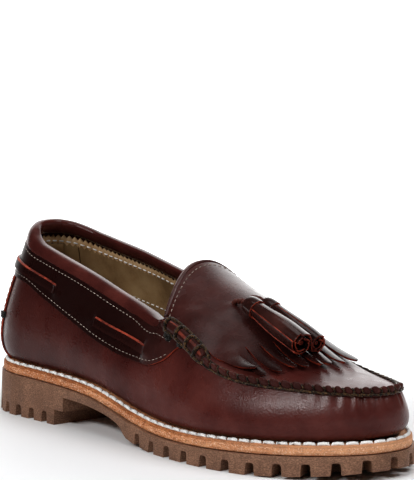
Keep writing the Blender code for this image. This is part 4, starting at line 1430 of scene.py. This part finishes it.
# Each finger of the fringe from the lateral side: the slit at its outer side by place across and
# along the apron, its tip, how far the tip is lifted, how far it twists and how much it narrows
FINGERS = table(
    "root_across root_x tip_across tip_x lift twist taper",
    [
        (-0.90, 55.0, -0.83, 84.0, 3.4, -0.2, 0.58),
        (-0.70, 61.0, -0.88, 91.0, 1.8, 0.5, 0.16),
        (-0.57, 65.0, -0.69, 94.5, 1.6, 0.4, 0.10),
        (-0.41, 69.0, -0.48, 97.5, 1.8, -0.3, 0.08),
        (-0.24, 73.0, -0.31, 100.5, 1.8, 0.5, 0.08),
        (-0.07, 75.0, -0.095, 103.0, 2.0, -0.3, 0.08),
        (0.10, 74.0, 0.05, 104.8, 2.2, 0.4, 0.08),
        (0.29, 71.0, 0.32, 105.6, 2.4, -0.4, 0.10),
        (0.50, 66.0, 0.66, 101.0, 2.6, 0.5, 0.25),
    ],
)
LAST_ROOT = 0.80, 58.0

# Soft hollows and swells of the kiltie
KILTIE_DENTS = table(
    "x y depth half_x half_y",
    [
        (20.0, -18.0, 0.8, 9.0, 7.0),
        (34.0, -27.0, -0.4, 10.0, 6.0),
        (41.0, -12.0, -0.5, 4.0, 4.0),
        (50.0, -21.0, 0.5, 9.0, 4.0),
        (30.0, 16.0, 0.6, 12.0, 8.0),
        (60.0, -28.0, -0.4, 7.0, 5.0),
    ],
)


def dents(points):
    """Height of the kiltie's hollows and swells at points on it."""
    height = np.zeros(points.shape[:-1])
    for x, y, deep, half_x, half_y in zip(*KILTIE_DENTS.values()):
        height -= deep * hump((points[..., 0] - x) / half_x) * hump((points[..., 1] - y) / half_y)
    return height


def over_plug(along, across, distance):
    """Points at a distance off the apron, with its dents, and the directions there."""
    points, normal = on_plug(along, across)
    return points + normal * (distance + np.maximum(dents(points), -GAP))[..., None], normal


def build_kiltie():
    """One sheet over the tongue and apron, slit into round-ended fingers along its front."""
    shape = Shape()
    count = len(FINGERS["lift"])
    slits = np.arange(count + 1)
    marks = np.arange(count * FINGER_COLUMNS + 1) / FINGER_COLUMNS
    roots = np.append(FINGERS["root_across"], LAST_ROOT[0])
    root_across = np.interp(marks, slits, roots)
    root_along = along_at_x(np.interp(marks, slits, np.append(FINGERS["root_x"], LAST_ROOT[1])))
    spread = np.interp(root_across, (roots[0], roots[-1]), (-KILTIE_SPREAD, KILTIE_SPREAD))
    rear_across = even_across(spread)
    share = np.linspace(0, 1, KILTIE_ROWS)[:, None]
    rows = KILTIE_START + (root_along - KILTIE_START) * share
    across = rear_across + (root_across - rear_across) * share**2
    shape.grid(*over_plug(rows, across, np.full(rows.shape, GAP)))
    q = np.sin(np.linspace(0, math.pi / 2, FINGER_ROWS))[:, None]
    p = np.linspace(-1, 1, FINGER_COLUMNS + 1)
    end = np.clip((q - 1 + FINGER_ROUND) / FINGER_ROUND, 0, 1)
    narrow = np.sqrt(1 - end**2)
    open_slit = SLIT_HALF * np.minimum(q * SLIT_OPENING, 1.0) * (SLIT_AT_ROOT + SLIT_GROWTH * q)
    for k, (_, _, tip_across, tip_x, lift, twist, taper) in enumerate(zip(*FINGERS.values())):
        strip = slice(k * FINGER_COLUMNS, (k + 1) * FINGER_COLUMNS + 1)
        half = np.diff(roots)[k] / 2
        middle = roots[k] + half
        width = narrow * (1 - taper * q**FINGER_TAPER_POWER)
        place_across = middle + (tip_across - middle) * q + p * (half - open_slit) * width
        place_along = root_along[strip] * (1 - q) + along_at_x(tip_x) * q
        bowed = FINGER_CROWN * (1 - p**2) * np.minimum(q * FINGER_CROWN_RISE, 1) + twist * p * q
        curl = lift * q**2 + bowed * narrow
        shape.grid(*over_plug(place_along, place_across, GAP + np.maximum(curl, 0.0)))
    sheet("fringed_kiltie", shape, KILTIE_SHEET, [KILTIE, RAW], "burgundy_leather", "kiltie")
    build_tongue_edge()


TONGUE_STEPS = 90
TONGUE_SPREAD = 0.9
TONGUE_EDGE_PLACE = 0.6
TONGUE_EDGE_BACK, TONGUE_EDGE_UP = 1.5, 1.95
TONGUE_EDGE_SUNK = 0.15
TONGUE_STITCH = 2.7


def build_tongue_edge():
    """The bound rear edge of the tongue and the stitches beside it."""
    across = even_across(np.linspace(-TONGUE_SPREAD, TONGUE_SPREAD, TONGUE_STEPS))
    points, normal = on_plug(np.full(TONGUE_STEPS, KILTIE_START * TONGUE_EDGE_PLACE), across)
    back = unit(np.cross(unit(np.gradient(points, axis=0)), normal))
    turn = full_turn(14)[:, None]
    centre = (points - normal * TONGUE_EDGE_SUNK)[:, None]
    backward, upward = back[:, None] * TONGUE_EDGE_BACK, normal[:, None] * TONGUE_EDGE_UP
    loop = centre + np.cos(turn) * backward + np.sin(turn) * upward
    solid("tongue_edge", Shape().grid(loop, around=True, caps=True), [KILTIE], "burgundy_leather")
    step = 0.01
    moved = plug(KILTIE_START + step, across)[0] - plug(KILTIE_START, across)[0]
    along = KILTIE_START + TONGUE_STITCH * step / np.linalg.norm(moved, axis=1)
    line = Path(*over_plug(along, across, np.full(TONGUE_STEPS, GAP + KILTIE_SHEET)))
    solid("tongue_stitches", stitch_row(Shape(), line, "tongue"), [BEIGE], "white_thread")


# Tassels

STRIP_THICK = 1.0
STRIP_TURN = 0.26
STRIP_FLAT = 0.6
STRIP_SPREAD = 0.4
STRIP_STRAY = 0.1
STRIP_FLARE = 0.35
STRIP_TUCK = 2.0
STRIP_WIDTH, STRIP_WIDENING = 0.99, 0.05
STRIP_LAP, STRIP_SAG = 0.8, 0.9
STRIP_LAP_AT_NECK = 0.4
STRIP_WAVES = 3.0
BELLY_RUN, BELLY_POWER = 1.5, 0.7
RIPPLE, RIPPLE_WAVES, RIPPLE_SHIFT, RIPPLE_BIAS = 0.14, 8.0, 30.0, 0.4
NECK_INSET = 0.35
CAP_SPREAD = 0.15
CAP_THICK = 0.9
CAP_LAP = 0.4
CAP_LAP_TURN, CAP_LAP_RUN = 0.7, 1.1
CAP_NARROW = 0.9
CAP_OPENING = 0.25
CAP_OVERRUN = 0.03
CAP_PLATE_INSET = 1.3
CAP_PLATE_START, CAP_PLATE_DEPTH = 0.4, 2.4
CAP_PLATE_HOLE = 0.02
ROLL_SHEET = 0.9
ROLL_CORE = 0.55
BUNDLE_INSET = 1.6
LEAST_RADIUS = 0.3

# Layers of strips in a tassel: how many strips, how far in they lie, and how far past the
# tassel's end the shortest and the longest of them reach
LAYERS = table("count inset shortest longest", [(6, 0.0, -2.2, 0.6), (5, 1.8, -1.8, 0.8)])

# The rolled strip inside a tassel: angle round it, distance out and size as shares of the inside,
# turns of its coil, and how far short of the fringe's end it stops
ROLL_AWAY, ROLL_OUT, ROLL_SIZE, ROLL_COIL, ROLL_SHORT = 0.6, 0.15, 0.36, 1.45, 1.4


def across_at(x, y):
    """Where across the apron a point lies, for a place along the shoe."""
    across = np.linspace(-1, 1, 41)
    return np.interp(y, plug(along_at_x(x), across)[0, :, 1], across)


def above_kiltie(x, y, distance):
    """A point over the kiltie, straight above its upper face by a distance."""
    points, normal = on_plug(np.array([along_at_x(x)]), np.array([across_at(x, y)]))
    face = points[0] + normal[0] * (GAP + KILTIE_THICK)
    return np.array([x, y, face[2] + distance])


def turned_grid(frame_of, turn, along, radius):
    """Points round an axis at angles and distances along it, and their outward directions."""
    origin, axis, side, top = frame_of
    turn, along, radius = (a[..., None] for a in np.broadcast_arrays(turn, along, radius))
    out = np.cos(turn) * side + np.sin(turn) * top
    return origin + along * axis + radius * out, out


def build_tassel(index, word):
    size = {name: column[index] for name, column in TASSELS.items()}
    back = above_kiltie(size["back_x"], size["back_y"], size["back_rest"] + size["cap"])
    front = above_kiltie(size["front_x"], size["front_y"], size["front_rest"] + size["end"])
    length = float(np.linalg.norm(front - back))
    axis = (front - back) / length
    side = unit(np.cross(axis, (0.0, 0.0, 1.0)))
    frame_of = back, axis, side, np.cross(side, axis)
    build_cap(frame_of, size, word)
    build_skirt(frame_of, size, word, length)
    build_tie(frame_of, size, word)


def build_cap(frame_of, size, word):
    """A strip of leather rolled round the tassel's neck, its outer end lapped, and a plate in its end."""
    outside = size["cap"] + CAP_SPREAD
    turn = np.linspace(-CAP_LAP_TURN, 2 * math.pi - CAP_OPENING, 72)[:, None]
    q = np.linspace(0, 1, 10)
    lap = CAP_LAP * np.clip(1 - (turn + CAP_LAP_TURN) / CAP_LAP_RUN, 0, 1)
    radius = outside - CAP_THICK - CAP_NARROW * (1 - q) ** 3 + lap
    along = CAP_LENGTH * (q * (1 + 2 * CAP_OVERRUN) - CAP_OVERRUN)
    shape = Shape().grid(*turned_grid(frame_of, turn, along, radius))
    node = f"tassel_cap_{word}"
    sheet(f"{node}_roll", shape, CAP_THICK, [TASSEL, RAW], "dark_leather", node)
    q = np.linspace(0, 1, 5)[:, None]
    turn = full_turn(20)
    radius = (outside - CAP_PLATE_INSET) * np.sqrt(q) + CAP_PLATE_HOLE
    plate, _ = turned_grid(frame_of, turn, CAP_PLATE_START + CAP_PLATE_DEPTH * q, radius)
    solid(f"{node}_end", Shape().grid(plate, around=True, caps=True), [TASSEL], "dark_leather")


def build_skirt(frame_of, size, word, length):
    """The fringe: broad strips lapped round a rolled one, with raw edges and an open end."""
    shape = Shape()
    q = np.linspace(0, 1, 26)
    p = np.linspace(-0.5, 0.5, 11)[:, None]
    start = CAP_LENGTH - STRIP_TUCK
    neck = size["neck"] - NECK_INSET
    spread = (size["end"] + STRIP_SPREAD - neck) * ease(q * BELLY_RUN) ** BELLY_POWER
    lapped = (STRIP_LAP * p - STRIP_SAG * p**2) * (STRIP_LAP_AT_NECK + (1 - STRIP_LAP_AT_NECK) * q)
    for count, inset, shortest, longest in zip(*LAYERS.values()):
        span = 2 * math.pi / count
        facet = 1 - STRIP_FLAT * (1 - math.cos(span / 2) / np.cos(p * span))
        least = -STRIP_STRAY, -STRIP_STRAY, shortest, -STRIP_FLARE
        most = STRIP_STRAY, STRIP_STRAY, longest, STRIP_FLARE
        for k in range(int(count)):
            shift, wave, reach, flare = RANDOM.uniform(least, most)
            middle = STRIP_TURN + (k + 0.5 + shift) * span + wave * np.sin(STRIP_WAVES * q)
            belly = neck + spread + flare * q**2
            ripple = RIPPLE * np.sin(RIPPLE_WAVES * q + RIPPLE_SHIFT * wave) * (RIPPLE_BIAS + p)
            radius = np.maximum(belly - STRIP_THICK - inset, LEAST_RADIUS) * facet + lapped + ripple
            turn = middle + p * span * (STRIP_WIDTH + STRIP_WIDENING * q)
            shape.grid(*turned_grid(frame_of, turn, start + (length - start + reach) * q, radius))
    node = f"tassel_skirt_{word}"
    sheet(f"{node}_strips", shape, STRIP_THICK, [TASSEL, RAW], "lace_leather", node, edge=0.2)
    coil = np.linspace(0, 1, 40)[:, None]
    bundle = size["end"] - BUNDLE_INSET
    back, axis, side, top = frame_of
    middle = back + ROLL_OUT * bundle * (math.cos(ROLL_AWAY) * side + math.sin(ROLL_AWAY) * top)
    turn = ROLL_AWAY + coil * 2 * math.pi * ROLL_COIL
    radius = np.maximum(bundle * ROLL_SIZE * (ROLL_CORE + (1 - ROLL_CORE) * coil) - ROLL_SHEET, LEAST_RADIUS)
    along = start + (length - start - ROLL_SHORT) * q
    rolled = Shape().grid(*turned_grid((middle, axis, side, top), turn, along, radius))
    sheet(f"{node}_rolls", rolled, ROLL_SHEET, [TASSEL, RAW], "lace_leather", node, edge=0.15)


STRAND_RADIUS = 0.85
STRAND_OFFSET = 0.72
STRAND_PITCH = 5.2
TIE_SUNK = -1.4
TIE_BEND = 2.5
TIE_ARCH = 0.8
TIE_REACH = 1.5
TIE_SMOOTHING = 9


def build_tie(frame_of, size, word):
    """The thong that holds a tassel: two strands twisted together, out of a slit in the kiltie."""
    back, axis = frame_of[:2]
    hole_x, y = size["back_x"] - TIE_RUN, size["back_y"]
    hole = above_kiltie(hole_x, y, TIE_SUNK)
    bend = above_kiltie(hole_x + TIE_BEND, y, TIE_REST + TIE_RADIUS)
    middle = (bend + back) / 2 + (0, 0, TIE_ARCH)
    line = Path(np.array([hole, bend, middle, back + axis * TIE_REACH]))
    run = np.linspace(0, line.length, 60)
    beyond = TIE_SMOOTHING // 2
    padded = np.pad(line.at(run)[0], ((beyond, beyond), (0, 0)), mode="edge")
    kernel = np.ones(TIE_SMOOTHING) / TIE_SMOOTHING
    centre = np.stack([np.convolve(c, kernel, "valid") for c in padded.T], 1)
    tangent = unit(np.gradient(centre, axis=0))
    aside = unit(np.cross(tangent, (0.0, 0.0, 1.0)))
    above = np.cross(aside, tangent)
    strands = []
    for phase in (0.0, math.pi):
        twist = (run / STRAND_PITCH * 2 * math.pi + phase)[:, None]
        strands.append(centre + STRAND_OFFSET * (np.cos(twist) * aside + np.sin(twist) * above))
    shape = Shape().bars(strands, STRAND_RADIUS, sides=10, taper=0.9)
    solid(f"tassel_tie_{word}_twist", shape, [TIE], "lace_leather", f"tassel_tie_{word}")


# Sole

RING_STEPS = 220
WELT_STEPS = 400
WELT_STITCH_INSET = 1.9
WELT_STITCH_PROUD = 0.05

# Section of the midsole: distance in from its edge, height, and if the face from there on is burnished
MIDSOLE_SECTION = table(
    "inset z burnished",
    [
        (26.0, 0.0, 0), (1.0, 0.0, 0), (0.35, 0.12, 0), (0.05, 0.5, 0), (0.0, 1.6, 0), (-0.05, 2.7, 0),
        (0.0, 3.9, 1), (0.15, 4.8, 1), (0.45, 5.2, 1), (0.9, 5.35, 0), (1.3, 5.3, 1), (1.9, 4.9, 1),
        (2.5, 5.3, 0), (3.2, 5.4, 0), (26.0, 5.4, 0),
    ],
)

# The insole's room inside the wall, less than the solid has, and its section: distance further in, height
INSOLE_CLEARANCE = 0.4
INSOLE_SECTION = (0.6, 0.0), (0.0, 0.6), (0.0, 2.3), (0.4, 2.8), (1.2, 3.0), (8.0, 3.0), (20.0, 3.0)
INSOLE_STEPS = 120

# The round top of a groove: its corner as a share of the groove's half-width, and of that what is cut
GROOVE_CORNER, GROOVE_CUT = 0.5, 0.3
RUBBER_EDGE = 0.45
RUBBER_EDGE_ANGLE, RUBBER_SHARP_ANGLE = 35, 30


def build_midsole():
    """The leather midsole: a ring with a rounded top edge, a stitch channel and slightly full sides."""
    rings = []
    for inset, z in zip(MIDSOLE_SECTION["inset"], MIDSOLE_SECTION["z"]):
        loop = ring(MIDSOLE_INSET + inset, RING_STEPS)
        rings.append(np.column_stack([loop, sole_top(loop[:, 0]) + GAP + z]))
    burnished = MIDSOLE_SECTION["burnished"].astype(int)
    shape = Shape().grid(np.stack(rings, 1), around=True, along=True, kind=burnished)
    solid("midsole_leather", shape, [TAN, TAN_EDGE], "tan_leather", "midsole", sharp=60)
    loop = ring(MIDSOLE_INSET + WELT_STITCH_INSET, WELT_STEPS)
    loop = np.concatenate([loop, loop[:1]])
    line = np.column_stack([loop, midsole_top(loop[:, 0]) + WELT_STITCH_PROUD])
    up = np.tile((0.0, 0.0, 1.0), (len(line), 1))
    solid("welt_stitches", stitch_row(Shape(), Path(line, up), "welt"), [WHITE], "white_thread")


def build_insole():
    """The sock inside: a thin pad with a rounded edge."""
    rings = []
    for extra, z in INSOLE_SECTION:
        loop = ring(WALL_THICK + INSOLE_CLEARANCE + extra, INSOLE_STEPS, from_foot=True)
        rings.append(np.column_stack([loop, midsole_top(loop[:, 0]) + GAP + z]))
    shape = Shape().grid(np.stack(rings), around=True)
    half = len(rings[0]) // 2
    across = np.linspace(0, 1, 9)[:, None, None]
    for edge in (rings[-1], rings[0]):
        lateral, medial = edge[:half + 1], np.concatenate([edge[:1], edge[:half - 1:-1]])
        shape.grid(lateral * (1 - across) + medial * across)
    solid("insole_sock", shape, [LINING], "lining_leather", "insole", sharp=50)


def loft(name, bodies):
    """An object made of closed bodies, each through rings of points with a cap at each end."""
    shape = Shape()
    for rings in bodies:
        shape.grid(np.array(rings), around=True, caps=True)
    return put(name, shape.mesh(name))


def groove(point, outward, reach, width, floor, depth):
    """One groove through the tread, from outside the edge inwards, with a round top."""
    along = np.append(outward, 0.0)
    sideways = np.array([-outward[1], outward[0], 0.0])
    wide, narrow = width / 2, width / 2 * GROOVE_TAPER
    corner = narrow * GROOVE_CORNER
    section = [(-wide, -OVERSHOOT), (wide, -OVERSHOOT), (narrow, depth - corner)]
    section += [(narrow - corner * GROOVE_CUT, depth - corner * GROOVE_CUT), (narrow - corner, depth)]
    section += [(-a, z) for a, z in section[:1:-1]]
    rings = []
    for distance in (GROOVE_OVERCUT, -reach):
        centre = np.append(point, floor) + along * distance
        rings.append([centre + sideways * aside + (0, 0, z) for aside, z in section])
    return rings


def tread_grooves():
    """Radial grooves at an even pitch: back from the toe's tip, and back from the heel's breast."""
    made = []
    for side in SIDES:
        length = EDGES[side][3]
        rear = share_at_x(side, LAST_GROOVE_X) * length
        start = length if side == LATERAL else length - LUG_PITCH
        for distance in np.arange(start, rear, -LUG_PITCH):
            point, outward = edge_at(side, distance / length)
            ground = float(smooth(SOLE_GROUND, "z", point[0]))
            made.append(groove(point, outward, LUG_REACH, LUG_GROOVE, ground, LUG_DEPTH))
        breast = share_at_x(side, BREAST_X) * length
        for distance in np.arange(breast - HEEL_FIRST_GROOVE, HEEL_LUG_PITCH / 3, -HEEL_LUG_PITCH):
            point, outward = edge_at(side, distance / length)
            made.append(groove(point, outward, LUG_REACH, HEEL_GROOVE, 0.0, HEEL_GROOVE_DEPTH))
    return made


def centre_grooves():
    """Straight grooves across the middle of the tread, clear of the lugs along its edge."""
    made = []
    across = np.array([0.0, 1.0])
    inside = LUG_REACH + CENTRE_CLEARANCE
    for start, end, pitch, width in zip(*CENTRE_SPANS.values()):
        for x in np.arange(start, end, pitch):
            low, high = (edge_at(side, share_at_x(side, x))[0][1] for side in SIDES)
            point = np.array([x, high - inside - GROOVE_OVERCUT])
            reach = high - low - 2 * inside - GROOVE_OVERCUT
            ground = float(smooth(SOLE_GROUND, "z", max(x, FLAT_START_X)))
            made.append(groove(point, across, reach, width, ground, LUG_DEPTH))
    return made


def outsole_profile():
    """The side outline of the rubber: heel, stepped breast, shank, forefoot and toe spring."""
    start, end = -LENGTH / 2 - OVERSHOOT, LENGTH / 2 + OVERSHOOT
    shank_x = BREAST_X + BREAST_OVERHANG
    heel = [(start, 0.0), (BREAST_X, 0.0), (BREAST_X, BREAST_STEP_HEIGHT), (shank_x, BREAST_STEP_HEIGHT)]
    ground_x = np.concatenate([np.linspace(shank_x, FLAT_START_X, 30), np.linspace(FLAT_END_X, end, 18)])
    ground = np.stack([ground_x, smooth(SOLE_GROUND, "z", ground_x)], 1)
    top_x = np.linspace(end, start, 60)
    return np.concatenate([heel, ground, np.stack([top_x, sole_top(top_x)], 1)])


def build_outsole():
    """The rubber sole, cut from a block of its outline, with softened edges."""
    rings = []
    for z, flare in ((-OVERSHOOT, SOLE_FLARE), (TOOL_TOP, 0.0)):
        loop = ring(-flare, 110)
        rings.append(np.column_stack([loop, np.full(len(loop), z)]))
    x, z = outsole_profile().T
    slab = [np.stack([x, np.full(len(x), y), z], 1) for y in (-LENGTH / 3, LENGTH / 3)]
    block = loft("outsole_block", [rings])
    cutters = [
        (loft("outsole_side", [slab]), "INTERSECT"),
        (loft("tread_cuts", tread_grooves()), "DIFFERENCE"),
        (loft("centre_cuts", centre_grooves()), "DIFFERENCE"),
    ]
    for cutter, operation in cutters:
        step = block.modifiers.new(cutter.name, "BOOLEAN")
        step.operation = operation
        step.solver = "EXACT"
        step.object = cutter
    soften(block, RUBBER_EDGE, RUBBER_EDGE_ANGLE)
    depsgraph = bpy.context.evaluated_depsgraph_get()
    mesh = bpy.data.meshes.new_from_object(block.evaluated_get(depsgraph))
    mesh.name = "rubber_outsole"
    mesh.shade_smooth()
    mesh.set_sharp_from_angle(angle=math.radians(RUBBER_SHARP_ANGLE))
    for obj in [block] + [cutter for cutter, _ in cutters]:
        bpy.data.objects.remove(obj, do_unlink=True)
    mesh.materials.clear()
    piece("rubber_outsole", mesh, [RUBBER], "gum_rubber", "outsole")


# Studio

PHOTO_SIZE = 414, 480
CAMERA_AZIMUTH = 49.72
CAMERA_ELEVATION = 9.45
CAMERA_DISTANCE = 1471.0
CAMERA_TARGET = np.array([0.0, 0.0, 40.0])
FOCAL_PIXELS = 2722.0
TARGET_PIXEL = np.array([197.4, 362.2])
SENSOR = 36.0
FLOOR_HALF = 9.0
FLOOR_COLOUR = 0.90, 0.905, 0.915

# Each softbox: azimuth from the camera's, elevation, distance, width and height, and watts
LIGHTS = {
    "overhead": (10.0, 78.0, 1.6, (1.7, 1.5), 9.0),
    "left_key": (-46.0, 36.0, 1.6, (1.25, 0.2), 12.0),
    "right_fill": (62.0, 48.0, 1.8, (0.8, 0.6), 10.0),
}

# Brightness of the backdrop, low and high behind the shoe, and of the room round the camera, with
# the heights and the directions between which one turns into the other
BACKDROP, HIGH_BACKDROP, DARK_ROOM = 1.85, 0.18, 0.01
BACKDROP_HEIGHTS = 0.55, 0.78
BACKDROP_SPREAD = 0.72, 0.93

# The floor glows beyond the shoe: distances in metres between which it starts to, and how strongly
FLOOR_GLOW_SPAN = 0.1, 0.5
FLOOR_GLOW = 0.8


def direction(azimuth, elevation):
    """The way out from the shoe at two angles in degrees."""
    turn, rise = math.radians(azimuth), math.radians(elevation)
    return np.array([math.sin(turn) * math.cos(rise), -math.cos(turn) * math.cos(rise), math.sin(rise)])


# The camera's backward direction, and the level way from it to the backdrop
BACK = direction(CAMERA_AZIMUTH, CAMERA_ELEVATION)
TO_BACKDROP = -BACK[0], -BACK[1], 0.0


def build_camera():
    """A long lens at the photo's angle, aimed above the shoe as the photo frames it."""
    right = direction(CAMERA_AZIMUTH + 90.0, 0.0)
    eye = CAMERA_TARGET + BACK * CAMERA_DISTANCE
    off = (np.array(PHOTO_SIZE) / 2 - TARGET_PIXEL) * CAMERA_DISTANCE / FOCAL_PIXELS
    aim = CAMERA_TARGET + right * off[0] - np.cross(BACK, right) * off[1]
    data = bpy.data.cameras.new("camera")
    data.sensor_width = SENSOR
    data.lens = FOCAL_PIXELS * SENSOR / max(PHOTO_SIZE)
    camera = put("camera", data)
    camera.location = Vector(eye) * MM
    camera.rotation_euler = Vector(aim - eye).to_track_quat("-Z", "Y").to_euler()
    bpy.context.scene.camera = camera


def build_floor():
    """A pale floor that brightens to white away from the shoe."""
    bm = bmesh.new()
    bmesh.ops.create_grid(bm, x_segments=40, y_segments=40, size=FLOOR_HALF)
    mesh = bpy.data.meshes.new("floor")
    bm.to_mesh(mesh)
    bm.free()
    made, tree, shader = new_material("floor")
    fill(tree, shader, base_color=FLOOR_COLOUR, roughness=0.6, specular_ior_level=0.2)
    far = compute(tree, "DOT_PRODUCT", place_in(tree), TO_BACKDROP, kind="VectorMath")["Value"]
    glow = between(tree, far, *FLOOR_GLOW_SPAN, 0.0, FLOOR_GLOW)
    fill(tree, shader, emission_color=(1.0, 1.0, 1.0), emission_strength=glow)
    mesh.materials.append(made)
    floor = put("floor", mesh)


def build_lights():
    for name, (azimuth, elevation, distance, size, power) in LIGHTS.items():
        way = Vector(direction(CAMERA_AZIMUTH + azimuth, elevation))
        data = bpy.data.lights.new(name, "AREA")
        data.shape = "RECTANGLE"
        data.size, data.size_y = size
        data.energy = power
        light = put(name, data)
        light.location = way * distance
        light.rotation_euler = way.to_track_quat("Z", "Y").to_euler()


def build_world():
    """A white backdrop behind the shoe that dims with height, and a dark room round the camera."""
    world = bpy.data.worlds.new("studio")
    bpy.context.scene.world = world
    world.use_nodes = True
    tree = world.node_tree
    way = add(tree, "TexCoord").outputs["Generated"]
    level_way = compute(tree, "MULTIPLY", way, (1.0, 1.0, 0.0), kind="VectorMath")[0]
    compass = compute(tree, "NORMALIZE", level_way, kind="VectorMath")[0]
    behind = compute(tree, "DOT_PRODUCT", compass, TO_BACKDROP, kind="VectorMath")["Value"]
    height = add(tree, "SeparateXYZ", vector=way).outputs["Z"]
    level = between(tree, height, *BACKDROP_HEIGHTS, BACKDROP, HIGH_BACKDROP)
    share = between(tree, behind, *BACKDROP_SPREAD, 0.0, 1.0)
    lit = compute(tree, "MULTIPLY_ADD", level, share, DARK_ROOM)[0]
    fill(tree, tree.nodes["Background"], color=(1.0, 1.0, 1.0), strength=lit)
    bpy.context.scene.view_settings.view_transform = "Standard"
    bpy.context.scene.view_settings.look = "Medium High Contrast"


def main():
    build_wall()
    build_apron()
    build_lining()
    build_collar_roll()
    build_band()
    build_laces()
    build_backstay()
    build_seam()
    build_kiltie()
    for index, word in enumerate(("lateral", "medial")):
        build_tassel(index, word)
    build_midsole()
    build_insole()
    build_outsole()
    build_camera()
    build_floor()
    build_lights()
    build_world()


main()
